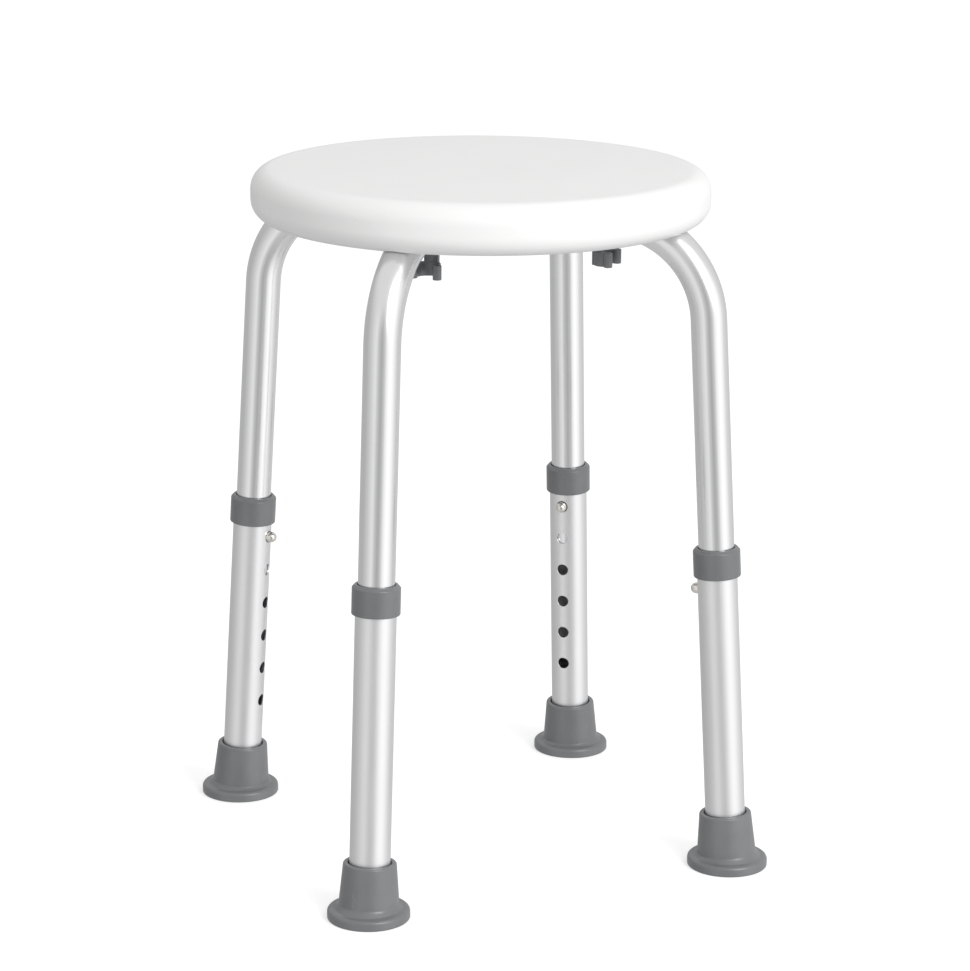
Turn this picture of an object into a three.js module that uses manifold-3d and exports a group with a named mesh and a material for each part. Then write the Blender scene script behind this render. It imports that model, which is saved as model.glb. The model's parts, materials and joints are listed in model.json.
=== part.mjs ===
// Round shower stool: a hollow moulded seat on four splayed telescopic legs.
// Millimetres, +Z up. The origin is on the floor under the middle of the seat, and -Y is the
// front, the side that the two hose clips face. The legs stand on the diagonals.
import * as THREE from 'three';
import { mergeVertices } from 'three/addons/utils/BufferGeometryUtils.js';
import Module from 'manifold-3d';

const wasm = await Module();
wasm.setup();

// ---------------------------------------------------------------- driving dimensions
const FIT_GAP = 0.3;              // between pieces that touch or seat on each other
const ROUND = 16;                 // sides of a tube-sized round piece
const FINE_ROUND = 40;            // sides of the seat
const FLANGE_ROUND = 24;          // sides of a foot's flange
const SMALL_ROUND = 10;           // sides of a screw-sized round piece

// Seat
const SEAT_DIAMETER = 320;
const SEAT_THICKNESS = 35;
const SEAT_HEIGHT = 485;          // floor to seat top, legs at their longest
const SEAT_WALL = 3.5;
const SEAT_TOP_EDGE = 14;         // edge radius round the top
const SEAT_BOTTOM_EDGE = 14;       // edge radius round the underside
const BOSS_WALL = 4;              // plastic round a screw in the seat
const POCKET_HEADROOM = 1;        // hub's pocket above the grooves
const BLOW_HOLE_DIAMETER = 9;
const BLOW_HOLE_X = 42;
const DIMPLE_CIRCLE_RADIUS = 112; // narrow slots that tie the underside to the top
const DIMPLE_WIDTH = 7;
const DIMPLE_LENGTH = 36;         // along the seat's radius
const DIMPLE_TAPER = 1.2;         // lost from the half width at the tip
const DIMPLE_SPREAD = THREE.MathUtils.degToRad(18);

// Legs
const FOOT_CIRCLE_RADIUS = 192;   // seat axis to the middle of a foot, on the floor
const SPLAY = THREE.MathUtils.degToRad(3.4);
const TUBE_DIAMETER = 25;         // upper tube, outside
const TUBE_WALL = 1.2;            // both tubes
const SLIDE_GAP = 0.3;            // between the upper tube and the lower tube's bore
const BEND_RADIUS = 68;           // upper tube's bend, on its centre line
const BEND_STEPS = 7;
const RUN_SINK = 5.5;             // how far the run's axis lies above the seat's underside
const GROOVE_GAP = 0.5;           // round the run, in the seat's groove
const LOWER_TUBE_LENGTH = 220;
const TUBE_TAIL = 40;             // upper tube's end below its button

// Height setting
const HOLE_COUNT = 6;
const HOLE_PITCH = 25.4;
const HOLE_DIAMETER = 8.6;
const TOP_HOLE_FROM_END = 28;     // top hole below the lower tube's upper end
const BUTTON_GAP = 0.4;           // round the button, in its hole
const BUTTON_PROUD = 5.6;         // dome's tip beyond the lower tube
const BUTTON_BASE_INSET = 2.8;    // button's base inside the upper tube's bore
const SPRING_STRIP = 0.8;
const SPRING_WIDTH = 7;
const SPRING_ABOVE = 30;          // hairpin's turn above the button
const SPRING_BELOW = 6;

// Collar
const COLLAR_WALL = 2.2;
const COLLAR_HEIGHT = 20.5;
const COLLAR_LIP = 2;             // part of the collar that covers the tube's end
const COLLAR_LIP_GAP = 0.4;       // round the upper tube, in the lip
const COLLAR_BEVEL = 2;

// Foot
const FOOT_FLANGE_DIAMETER = 56.5;
const FOOT_FLANGE_THICKNESS = 7;
const FOOT_FLOOR = 7.5;           // rubber under the steel washer, along the leg
const FOOT_HEIGHT = 39;           // along the leg
const FOOT_NECK_WALL = 3.9;       // at the mouth
const FOOT_NECK_TAPER = 2.1;      // neck's growth in radius from mouth to base
const FOOT_BASE_RING = 2.6;       // step from the neck out to the flange
const FOOT_MOUTH_FLARE = 0.8;
const WASHER_THICKNESS = 1.5;

// Hub and fastenings under the seat
const HUB_DIAMETER = 46;
const HUB_COVER = 1;              // hub over and under its spigots
const SPIGOT_LENGTH = 18;
const SCREW_DIAMETER = 4.8;
const SCREW_HEAD_DIAMETER = 9;
const SCREW_HEAD_HEIGHT = 2.8;
const SCREW_TIP_COVER = 2;        // plastic left above a screw's tip, over the seat's wall
const INNER_SCREW_SHARE = 0.32;   // inner screw, between the spigot's end and the saddle
const OUTER_SCREW_FROM_BEND = 21; // outer screw before the bend's start
const SADDLE_DIAMETER = 13;
const SADDLE_THICKNESS = 2.4;

// Hose clips
const CLIP_REACH = 13.5;          // jaw's centre beyond the outer screw
const CLIP_JAW_RADIUS = 7;        // inside
const CLIP_WALL = 1.8;
const CLIP_JAW_HEIGHT = 10;
const CLIP_JAW_DROP = 6.8;        // saddle's underside to the jaw's top
const CLIP_STEM_WIDTH = 10;       // stem that the jaw hangs from
const CLIP_OPENING = THREE.MathUtils.degToRad(62); // half of the jaw's mouth
const CLIP_LIP_RADIUS = 3;        // rolled lip, outside
const CLIP_SADDLE_WIDTH = 22;

// ---------------------------------------------------------------- sizes that follow
const tubeRadius = TUBE_DIAMETER / 2;
const tubeBoreRadius = tubeRadius - TUBE_WALL;
const lowerBoreRadius = tubeRadius + SLIDE_GAP;
const lowerRadius = lowerBoreRadius + TUBE_WALL;
const seatRadius = SEAT_DIAMETER / 2;
const seatBottom = SEAT_HEIGHT - SEAT_THICKNESS;
const runHeight = seatBottom + RUN_SINK;
const grooveRadius = tubeRadius + GROOVE_GAP;
const hubRadius = HUB_DIAMETER / 2;
const spigotRadius = tubeBoreRadius - FIT_GAP;
const spigotEndX = hubRadius + SPIGOT_LENGTH;
const hubHalfHeight = spigotRadius + HUB_COVER;

// The leg's axis leans in by SPLAY. Along it, s is the distance from the floor.
const turn = Math.PI / 2 - SPLAY;
const bendReach = BEND_RADIUS * Math.tan(turn / 2);
const cornerX = FOOT_CIRCLE_RADIUS - runHeight * Math.tan(SPLAY);
const bendStartX = cornerX - bendReach;
const washerS = FOOT_FLOOR + FIT_GAP;
const lowerTubeS = washerS + WASHER_THICKNESS + FIT_GAP;
const lowerTubeTopS = lowerTubeS + LOWER_TUBE_LENGTH;
const buttonS = lowerTubeTopS - TOP_HOLE_FROM_END;
const upperTubeEndS = buttonS - TUBE_TAIL;
const outerScrewX = bendStartX - OUTER_SCREW_FROM_BEND;
const saddleStartX = outerScrewX - CLIP_SADDLE_WIDTH / 2;
const innerScrewX = spigotEndX + INNER_SCREW_SHARE * (saddleStartX - spigotEndX);
const screwTipZ = SEAT_HEIGHT - SEAT_WALL - SCREW_TIP_COVER;

const LEGS = [
  { name: 'front_left', azimuth: -135, clip: true },
  { name: 'front_right', azimuth: -45, clip: true },
  { name: 'rear_right', azimuth: 45, clip: false },
  { name: 'rear_left', azimuth: 135, clip: false },
];

// ---------------------------------------------------------------- materials
const material = (color, roughness, metalness) =>
  new THREE.MeshStandardMaterial({ color, roughness, metalness });
const SEAT_WHITE = material(0xf2f2f2, 0.45, 0);
const ALUMINIUM = material(0xcfd0d4, 0.35, 0.9);
const GREY_PLASTIC = material(0x808286, 0.5, 0);
const GREY_RUBBER = material(0x84868a, 0.7, 0);
const NICKEL = material(0xd8d6d0, 0.2, 1);
const STEEL = material(0xb4b6ba, 0.35, 1);

// ---------------------------------------------------------------- solids
/** A closed mesh as a solid that can be cut and joined. */
function solid(geometry) {
  const bare = geometry.clone();
  bare.deleteAttribute('normal');
  bare.deleteAttribute('uv');
  const merged = mergeVertices(bare, 1e-4);
  return new wasm.Manifold(new wasm.Mesh({
    numProp: 3,
    vertProperties: new Float32Array(merged.attributes.position.array),
    triVerts: new Uint32Array(merged.index.array),
  }));
}

/** The surface of a solid. */
function surface(body) {
  const mesh = body.getMesh();
  const geometry = new THREE.BufferGeometry();
  geometry.setAttribute('position', new THREE.BufferAttribute(mesh.vertProperties, 3));
  geometry.setIndex(new THREE.BufferAttribute(mesh.triVerts, 1));
  geometry.computeVertexNormals();
  return geometry;
}

/** Cuts every tool from a solid. */
const cut = (body, ...tools) => tools.reduce((rest, tool) => rest.subtract(tool), body);

/** Joins solids into one. */
const join = (first, ...others) => others.reduce((sum, other) => sum.add(other), first);

/** A body turned about Z from a profile of [radius, height] pairs, listed upwards. */
function turned(profile, sides = ROUND) {
  const points = profile.map(([radius, height]) => new THREE.Vector2(radius, height));
  return new THREE.LatheGeometry(points, sides).rotateX(Math.PI / 2);
}

/** A vertical cylinder between two heights, centred on x, y. */
function cylinder(radius, low, high, x = 0, y = 0, sides = ROUND) {
  return turned([[0, low], [radius, low], [radius, high], [0, high]], sides).translate(x, y, 0);
}

/** A cylinder along X from one x to another, on the axis y = 0 at height z. */
function rod(radius, fromX, toX, z, sides = ROUND) {
  return turned([[0, fromX], [radius, fromX], [radius, toX], [0, toX]], sides)
    .rotateY(Math.PI / 2).translate(0, 0, z);
}

/** Points on an arc, in [radius, height] pairs. */
function arc(x, y, radius, from, to, steps) {
  return Array.from({ length: steps + 1 }, (_, i) => {
    const angle = from + (to - from) * i / steps;
    return [x + radius * Math.cos(angle), y + radius * Math.sin(angle)];
  });
}

/** A shape in the XZ plane made as thick as width, with its middle on y = 0. */
function plate(shape, width) {
  return new THREE.ExtrudeGeometry(shape, { depth: width, bevelEnabled: false, curveSegments: 4 })
    .rotateX(Math.PI / 2).translate(0, width / 2, 0);
}

/** Copies of a shape turned about Z to each leg, as one solid. */
const atEachLeg = (make) => join(...LEGS.map(({ azimuth }) =>
  solid(make().rotateZ(THREE.MathUtils.degToRad(azimuth)))));

// ---------------------------------------------------------------- the upper tube's line
/** Centre line of an upper tube, in the leg's XZ plane: run, bend, then down the splayed leg. */
class LegLine extends THREE.Curve {
  constructor(startX, endS) {
    super();
    this.start = new THREE.Vector3(startX, 0, runHeight);
    this.end = onLegAxis(endS);
    this.steps = BEND_STEPS + 2;
  }

  /** Each step along t is one station: run start, the bend's stations, the leg's end. */
  getUtoTmapping(u) {
    return u;
  }

  getPoint(t) {
    const station = t * this.steps;
    if (station <= 1) return this.start.clone().lerp(this.onBend(0), station);
    if (station >= this.steps - 1) {
      return this.onBend(turn).lerp(this.end, station - this.steps + 1);
    }
    return this.onBend(turn * (station - 1) / BEND_STEPS);
  }

  getTangent(t) {
    const bent = (t * this.steps - 1) / BEND_STEPS;
    const angle = turn * THREE.MathUtils.clamp(bent, 0, 1);
    return new THREE.Vector3(Math.cos(angle), 0, -Math.sin(angle));
  }

  onBend(angle) {
    return new THREE.Vector3(
      bendStartX + BEND_RADIUS * Math.sin(angle),
      0,
      runHeight - BEND_RADIUS * (1 - Math.cos(angle)),
    );
  }
}

/** The point at distance s up the leg's axis, in the leg's XZ plane. */
function onLegAxis(s) {
  return new THREE.Vector3(FOOT_CIRCLE_RADIUS - s * Math.sin(SPLAY), 0, s * Math.cos(SPLAY));
}

/** A section carried along a leg's line. The section's -X is up on the run. */
function alongLeg(section, line, sides = ROUND) {
  return new THREE.ExtrudeGeometry(section, {
    extrudePath: line, steps: line.steps, bevelEnabled: false, curveSegments: sides / 2,
  });
}

/** Turns a geometry drawn about the leg's axis, with Z as s, into the leg's XZ plane. */
function ontoLegAxis(geometry) {
  return geometry.rotateY(-SPLAY).translate(FOOT_CIRCLE_RADIUS, 0, 0);
}

// ---------------------------------------------------------------- seat
/** Outline of the seat's disc, shrunk inwards by inset on every side. */
function seatProfile(inset) {
  const radius = seatRadius - inset;
  const low = seatBottom + inset;
  const high = SEAT_HEIGHT - inset;
  const bottomEdge = Math.max(SEAT_BOTTOM_EDGE - inset, 1);
  const topEdge = Math.max(SEAT_TOP_EDGE - inset, 1);
  return [
    [0, low],
    ...arc(radius - bottomEdge, low + bottomEdge, bottomEdge, -Math.PI / 2, 0, 3),
    ...arc(radius - topEdge, high - topEdge, topEdge, 0, Math.PI / 2, 4),
    [0, high],
  ];
}

/** Arch-shaped section, open downwards, of the groove that a tube's run lies in. */
function grooveSection(radius) {
  const depth = 2 * TUBE_DIAMETER;
  const section = new THREE.Shape();
  section.moveTo(depth, -radius);
  section.lineTo(depth, radius);
  section.lineTo(0, radius);
  section.absarc(0, 0, radius, Math.PI / 2, 3 * Math.PI / 2, false);
  section.closePath();
  return section;
}

const groove = (radius) =>
  alongLeg(grooveSection(radius), new LegLine(hubRadius / 2, upperTubeEndS), 8);

/** Slot with round ends from the seat's underside to its top wall, grown by wall. */
function dimple(angle, wall) {
  const tip = SEAT_HEIGHT - SEAT_WALL;
  const mouth = DIMPLE_WIDTH / 2 + wall;
  const end = mouth - DIMPLE_TAPER;
  const low = seatBottom - 1;
  return turned([[0, low], [mouth, low], [end, tip + wall], [0, tip + wall]], SMALL_ROUND)
    .scale((DIMPLE_LENGTH / 2 + wall) / mouth, 1, 1)
    .translate(DIMPLE_CIRCLE_RADIUS, 0, 0).rotateZ(angle);
}

/** Angles of the two slots between each pair of legs. */
const dimpleAngles = [0, 1, 2, 3].flatMap((quarter) =>
  [-DIMPLE_SPREAD, DIMPLE_SPREAD].map((offset) => quarter * Math.PI / 2 + offset));

function seat() {
  const pocketTop = runHeight + grooveRadius + POCKET_HEADROOM;
  const bossRadius = SCREW_DIAMETER / 2 + FIT_GAP + BOSS_WALL;
  const pilotRadius = SCREW_DIAMETER / 2 + FIT_GAP;
  const boss = (x) => cylinder(bossRadius, seatBottom, SEAT_HEIGHT, x, 0, SMALL_ROUND);
  const pilot = (x) =>
    cylinder(pilotRadius, seatBottom, screwTipZ + FIT_GAP, x, 0, SMALL_ROUND);
  const cavity = cut(
    solid(turned(seatProfile(SEAT_WALL), FINE_ROUND)),
    atEachLeg(() => groove(grooveRadius + SEAT_WALL)),
    solid(cylinder(hubRadius + GROOVE_GAP + SEAT_WALL, seatBottom, pocketTop + SEAT_WALL)),
    ...[innerScrewX, outerScrewX].map((x) => atEachLeg(() => boss(x))),
    solid(boss(0)),
    join(...dimpleAngles.map((angle) => solid(dimple(angle, SEAT_WALL)))),
  );
  return surface(cut(
    solid(turned(seatProfile(0), FINE_ROUND)),
    cavity,
    atEachLeg(() => groove(grooveRadius)),
    solid(cylinder(hubRadius + GROOVE_GAP, seatBottom - 1, pocketTop)),
    ...[innerScrewX, outerScrewX].map((x) => atEachLeg(() => pilot(x))),
    solid(pilot(0)),
    join(...dimpleAngles.map((angle) => solid(dimple(angle, 0)))),
    solid(cylinder(BLOW_HOLE_DIAMETER / 2, seatBottom - 1, seatBottom + SEAT_WALL + 1,
      BLOW_HOLE_X, 0, SMALL_ROUND)),
  ));
}

// ---------------------------------------------------------------- tubes
/** Ring-shaped section of a tube. */
function tubeSection(outerRadius, innerRadius) {
  const section = new THREE.Shape().absarc(0, 0, outerRadius, 0, 2 * Math.PI, false);
  section.holes.push(new THREE.Path().absarc(0, 0, innerRadius, 0, 2 * Math.PI, true));
  return section;
}

/** A hole's cutter through the wall that faces the stool's middle, at s on the leg's axis. */
function wallHole(s) {
  const reach = lowerRadius + 1;
  return ontoLegAxis(rod(HOLE_DIAMETER / 2, -reach, 0, s, SMALL_ROUND));
}

function upperTube() {
  const line = new LegLine(hubRadius + FIT_GAP, upperTubeEndS);
  const screwHole = (x) => solid(cylinder(SCREW_DIAMETER / 2 + FIT_GAP,
    runHeight - TUBE_DIAMETER, runHeight + TUBE_DIAMETER, x, 0, SMALL_ROUND));
  return surface(cut(
    solid(alongLeg(tubeSection(tubeRadius, tubeBoreRadius), line)),
    solid(wallHole(buttonS)),
    screwHole(innerScrewX),
    screwHole(outerScrewX),
  ));
}

function lowerTube() {
  const tube = ontoLegAxis(turned([
    [lowerBoreRadius, lowerTubeS], [lowerRadius, lowerTubeS],
    [lowerRadius, lowerTubeTopS], [lowerBoreRadius, lowerTubeTopS],
    [lowerBoreRadius, lowerTubeS],
  ]));
  const holes = Array.from({ length: HOLE_COUNT }, (_, i) =>
    solid(wallHole(buttonS - i * HOLE_PITCH)));
  return surface(cut(solid(tube), ...holes));
}

// ---------------------------------------------------------------- collar, button and spring
function collar() {
  const bore = lowerRadius + FIT_GAP;
  const outer = bore + COLLAR_WALL;
  const lipBore = tubeRadius + COLLAR_LIP_GAP;
  const shoulder = lowerTubeTopS + FIT_GAP;
  const top = shoulder + COLLAR_LIP;
  const bottom = top - COLLAR_HEIGHT;
  return ontoLegAxis(turned([
    [bore, bottom], [outer - 0.8, bottom], [outer, bottom + 0.8], [outer, top - COLLAR_BEVEL],
    [outer - COLLAR_BEVEL, top], [lipBore + 0.6, top], [lipBore, top - 0.6],
    [lipBore, shoulder], [bore, shoulder], [bore, bottom],
  ]));
}

function snapButton() {
  const radius = HOLE_DIAMETER / 2 - BUTTON_GAP;
  const base = tubeBoreRadius - BUTTON_BASE_INSET;
  const tip = lowerRadius + BUTTON_PROUD;
  const dome = arc(0, tip - radius, radius, 0, Math.PI / 2, 4);
  dome[dome.length - 1] = [0, tip];
  return ontoLegAxis(turned([[0, base], [radius, base], ...dome], SMALL_ROUND)
    .rotateY(-Math.PI / 2).translate(0, 0, buttonS));
}

/** Hairpin of flat strip: one arm behind the button, the other against the far wall. */
function buttonSpring() {
  const outer = tubeBoreRadius - BUTTON_BASE_INSET - FIT_GAP;
  const inner = outer - SPRING_STRIP;
  const turnS = buttonS + SPRING_ABOVE;
  const lowS = buttonS - SPRING_BELOW;
  const strip = new THREE.Shape();
  strip.moveTo(-outer, lowS);
  strip.lineTo(-outer, turnS);
  strip.absarc(0, turnS, outer, Math.PI, 0, true);
  strip.lineTo(outer, lowS);
  strip.lineTo(inner, lowS);
  strip.lineTo(inner, turnS);
  strip.absarc(0, turnS, inner, 0, Math.PI, false);
  strip.lineTo(-inner, lowS);
  strip.closePath();
  return ontoLegAxis(plate(strip, SPRING_WIDTH));
}

// ---------------------------------------------------------------- foot
function foot() {
  const bore = lowerRadius + FIT_GAP;
  const mouth = bore + FOOT_MOUTH_FLARE;
  const neckTop = bore + FOOT_NECK_WALL;
  const neckBase = neckTop + FOOT_NECK_TAPER;
  const ring = neckBase + FOOT_BASE_RING;
  const flangeRadius = FOOT_FLANGE_DIAMETER / 2;
  const inFlange = FOOT_FLANGE_THICKNESS / 2;
  const neck = turned([
    [0, inFlange], [ring, inFlange], [ring, FOOT_FLANGE_THICKNESS + 0.6],
    [neckBase + 0.6, FOOT_FLANGE_THICKNESS + 2.6], [neckBase, FOOT_FLANGE_THICKNESS + 5],
    [neckTop, FOOT_HEIGHT - 2], [neckTop - 0.7, FOOT_HEIGHT - 0.6],
    [neckTop - 1.8, FOOT_HEIGHT], [0, FOOT_HEIGHT],
  ]);
  const flange = turned([
    [0, 0], [flangeRadius - 1.5, 0], ...arc(flangeRadius - 1, 1, 1, -Math.PI / 4, 0, 1),
    ...arc(flangeRadius - 2.5, FOOT_FLANGE_THICKNESS - 2.5, 2.5, 0, Math.PI / 2, 3),
    [0, FOOT_FLANGE_THICKNESS],
  ], FLANGE_ROUND).translate(FOOT_CIRCLE_RADIUS, 0, 0);
  const socket = turned([
    [0, FOOT_FLOOR], [bore, FOOT_FLOOR], [bore, FOOT_HEIGHT - 6],
    [mouth, FOOT_HEIGHT + 1], [0, FOOT_HEIGHT + 1],
  ]);
  return surface(cut(join(solid(ontoLegAxis(neck)), solid(flange)), solid(ontoLegAxis(socket))));
}

/** Steel washer that keeps the tube's end from cutting into the rubber. */
function footWasher() {
  const top = washerS + WASHER_THICKNESS;
  const hole = lowerRadius / 3;
  return ontoLegAxis(turned([
    [hole, washerS], [lowerRadius, washerS], [lowerRadius, top], [hole, top], [hole, washerS],
  ]));
}

// ---------------------------------------------------------------- under the seat
/** Hub that the four runs plug onto, with a screw hole up through its middle. */
function hub() {
  const spigots = atEachLeg(() => rod(spigotRadius, 0, spigotEndX, runHeight));
  const block = cylinder(hubRadius, runHeight - hubHalfHeight, runHeight + hubHalfHeight);
  const screwHole = cylinder(SCREW_DIAMETER / 2 + FIT_GAP, runHeight - 2 * hubHalfHeight,
    runHeight + 2 * hubHalfHeight, 0, 0, SMALL_ROUND);
  return surface(cut(join(solid(block), spigots), solid(screwHole)));
}

/** Screw from under a face at headZ up into the seat, at x on a run. */
function screw(headZ, x) {
  const head = SCREW_HEAD_DIAMETER / 2;
  const shank = SCREW_DIAMETER / 2;
  return turned([
    [0, headZ - SCREW_HEAD_HEIGHT], [head * 0.55, headZ - SCREW_HEAD_HEIGHT],
    [head * 0.9, headZ - SCREW_HEAD_HEIGHT * 0.65], [head, headZ], [shank, headZ],
    [shank, screwTipZ - shank], [0, screwTipZ],
  ], SMALL_ROUND).translate(x, 0, 0);
}

const hubScrew = () => screw(runHeight - hubHalfHeight - FIT_GAP, 0);

const saddleTop = runHeight - tubeRadius - FIT_GAP;
const saddleBottom = saddleTop - SADDLE_THICKNESS;
const seatScrew = (x) => screw(saddleBottom - FIT_GAP, x);

/** Washer under a seat screw's head, hollowed on top to fit the tube. */
function saddleWasher(x) {
  const top = runHeight - tubeRadius / 2;
  return surface(cut(
    solid(cylinder(SADDLE_DIAMETER / 2, saddleBottom, top, x)),
    solid(rod(tubeRadius + FIT_GAP, x - SADDLE_DIAMETER, x + SADDLE_DIAMETER, runHeight)),
    solid(cylinder(SCREW_DIAMETER / 2 + FIT_GAP, saddleBottom - 1, top, x, 0, SMALL_ROUND)),
  ));
}

/**
 * Saddle under the run, and a C-shaped jaw that hangs on a stem from its outer end. The jaw
 * opens outwards and its lips are rolled.
 */
function hoseClip() {
  const jawX = outerScrewX + CLIP_REACH;
  const outer = CLIP_JAW_RADIUS + CLIP_WALL;
  const middle = CLIP_JAW_RADIUS + CLIP_WALL / 2;
  const lipTurn = CLIP_LIP_RADIUS - CLIP_WALL / 2;
  const jawTop = saddleBottom - CLIP_JAW_DROP;
  const jawBottom = jawTop - CLIP_JAW_HEIGHT;
  const lip = new THREE.Vector2(Math.cos(CLIP_OPENING), Math.sin(CLIP_OPENING))
    .multiplyScalar(middle + lipTurn);

  const section = new THREE.Shape();
  section.absarc(0, 0, outer, CLIP_OPENING, 2 * Math.PI - CLIP_OPENING, false);
  section.absarc(0, 0, CLIP_JAW_RADIUS, 2 * Math.PI - CLIP_OPENING, CLIP_OPENING, true);
  section.closePath();
  const jaw = solid(new THREE.ExtrudeGeometry(section, {
    depth: CLIP_JAW_HEIGHT, bevelEnabled: false, curveSegments: SMALL_ROUND / 2,
  }).translate(jawX, 0, jawBottom));
  const roll = (side) => solid(cylinder(CLIP_LIP_RADIUS, jawBottom, jawTop,
    jawX + lip.x, side * lip.y, SMALL_ROUND));
  const rollBore = (side) => solid(cylinder(CLIP_LIP_RADIUS - CLIP_WALL / 2, jawBottom - 1,
    jawTop + 1, jawX + lip.x, side * lip.y, SMALL_ROUND));
  const jawHollow = solid(cylinder(CLIP_JAW_RADIUS, jawBottom - 1, saddleBottom + 1, jawX));

  const stemFrom = jawX - outer + FIT_GAP;
  const stemTo = jawX - middle + CLIP_WALL;
  const stem = plate(new THREE.Shape([
    new THREE.Vector2(stemFrom, jawBottom), new THREE.Vector2(stemTo, jawBottom),
    new THREE.Vector2(stemTo, saddleBottom + 1), new THREE.Vector2(stemFrom, saddleBottom + 1),
  ]), CLIP_STEM_WIDTH);

  const toX = jawX - CLIP_JAW_RADIUS;
  const saddleBlock = plate(new THREE.Shape([
    new THREE.Vector2(saddleStartX, saddleBottom), new THREE.Vector2(toX, saddleBottom),
    new THREE.Vector2(toX, seatBottom - FIT_GAP), new THREE.Vector2(saddleStartX, seatBottom - FIT_GAP),
  ]), CLIP_SADDLE_WIDTH);
  const saddle = cut(
    solid(saddleBlock),
    solid(rod(tubeRadius + FIT_GAP, saddleStartX - 1, toX + 1, runHeight)),
    solid(cylinder(SCREW_DIAMETER / 2 + FIT_GAP, saddleBottom - 1, runHeight,
      outerScrewX, 0, SMALL_ROUND)),
  );
  return surface(cut(
    join(saddle, jaw, solid(stem), roll(1), roll(-1)),
    jawHollow, rollBore(1), rollBore(-1),
  ));
}

// ---------------------------------------------------------------- assembly
/** A named piece. */
function piece(name, geometry, finish) {
  const mesh = new THREE.Mesh(geometry, finish);
  mesh.name = name;
  return mesh;
}

/** Everything that belongs to one leg, drawn in its XZ plane and turned to its azimuth. */
function leg({ name, azimuth, clip }) {
  const group = new THREE.Group();
  group.rotation.z = THREE.MathUtils.degToRad(azimuth);
  group.add(
    piece(`upper_tube_${name}`, upperTube(), ALUMINIUM),
    piece(`lower_tube_${name}`, lowerTube(), ALUMINIUM),
    piece(`collar_${name}`, collar(), GREY_PLASTIC),
    piece(`snap_button_${name}`, snapButton(), NICKEL),
    piece(`button_spring_${name}`, buttonSpring(), STEEL),
    piece(`foot_${name}`, foot(), GREY_RUBBER),
    piece(`foot_washer_${name}`, footWasher(), STEEL),
    piece(`seat_screw_inner_${name}`, seatScrew(innerScrewX), STEEL),
    piece(`seat_screw_outer_${name}`, seatScrew(outerScrewX), STEEL),
    piece(`saddle_washer_inner_${name}`, saddleWasher(innerScrewX), GREY_PLASTIC),
  );
  if (clip) {
    group.add(piece(`hose_clip_${name}`, hoseClip(), GREY_PLASTIC));
  } else {
    group.add(piece(`saddle_washer_outer_${name}`, saddleWasher(outerScrewX), GREY_PLASTIC));
  }
  return group;
}

const stool = new THREE.Group();
stool.add(
  piece('seat', seat(), SEAT_WHITE),
  piece('hub', hub(), GREY_PLASTIC),
  piece('hub_screw', hubScrew(), STEEL),
  ...LEGS.map(leg),
);

export default stool;
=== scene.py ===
"""Round shower stool: a moulded seat on four splayed telescopic legs with snap buttons.

Lengths in the classes below are in millimetres, as on a maker's drawing, and turn into metres
where a mesh is made. +Z is up, the origin is on the floor under the middle of the seat, and -Y
is the front. A leg is drawn in the XZ plane, with its radius along X, then turned to its azimuth.
"""

import json
import logging
from dataclasses import dataclass
from enum import Enum
from math import atan2, cos, degrees, hypot, pi, radians, sin, tan

import bmesh
import bpy
import numpy as np
from mathutils import Matrix, Vector


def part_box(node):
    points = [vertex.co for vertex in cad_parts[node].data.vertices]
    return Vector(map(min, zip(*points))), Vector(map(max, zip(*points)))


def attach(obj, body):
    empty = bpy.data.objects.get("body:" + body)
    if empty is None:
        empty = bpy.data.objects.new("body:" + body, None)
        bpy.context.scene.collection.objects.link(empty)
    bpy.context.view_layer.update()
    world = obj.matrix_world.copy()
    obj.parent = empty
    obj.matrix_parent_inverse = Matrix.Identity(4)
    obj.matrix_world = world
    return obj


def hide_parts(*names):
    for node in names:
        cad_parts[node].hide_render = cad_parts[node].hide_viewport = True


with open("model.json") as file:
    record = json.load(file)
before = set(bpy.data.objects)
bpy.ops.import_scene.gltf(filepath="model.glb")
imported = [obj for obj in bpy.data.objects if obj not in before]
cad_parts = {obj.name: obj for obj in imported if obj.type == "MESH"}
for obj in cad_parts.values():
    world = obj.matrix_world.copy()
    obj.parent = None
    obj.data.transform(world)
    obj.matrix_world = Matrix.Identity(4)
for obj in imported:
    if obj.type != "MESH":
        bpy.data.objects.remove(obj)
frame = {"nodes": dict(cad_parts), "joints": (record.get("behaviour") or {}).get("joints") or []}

LOG = logging.getLogger("shower_stool")
MM = 0.001
WELD = 1e-4              # millimetres within which vertices are the same
SHARP = radians(35)      # edges that turn more than this keep their crease
Points = np.ndarray


class Slot(Enum):
    """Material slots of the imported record."""

    SEAT = "seat"
    ALUMINIUM = "aluminium"
    PLASTIC = "grey_plastic"
    RUBBER = "grey_rubber"
    NICKEL = "nickel"
    STEEL = "steel"


class Place(Enum):
    """Where a leg stands: its name and its azimuth in degrees."""

    FRONT_LEFT = ("front_left", -135.0)
    FRONT_RIGHT = ("front_right", -45.0)
    REAR_RIGHT = ("rear_right", 45.0)
    REAR_LEFT = ("rear_left", 135.0)

    @property
    def label(self) -> str:
        """Name that the leg's nodes and bodies end with."""
        return self.value[0]

    @property
    def azimuth(self) -> float:
        """Direction of the leg from the seat's middle, in radians."""
        return radians(self.value[1])

    @property
    def in_front(self) -> bool:
        """Whether the leg carries a hose clip."""
        return self.label.startswith("front")


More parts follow.
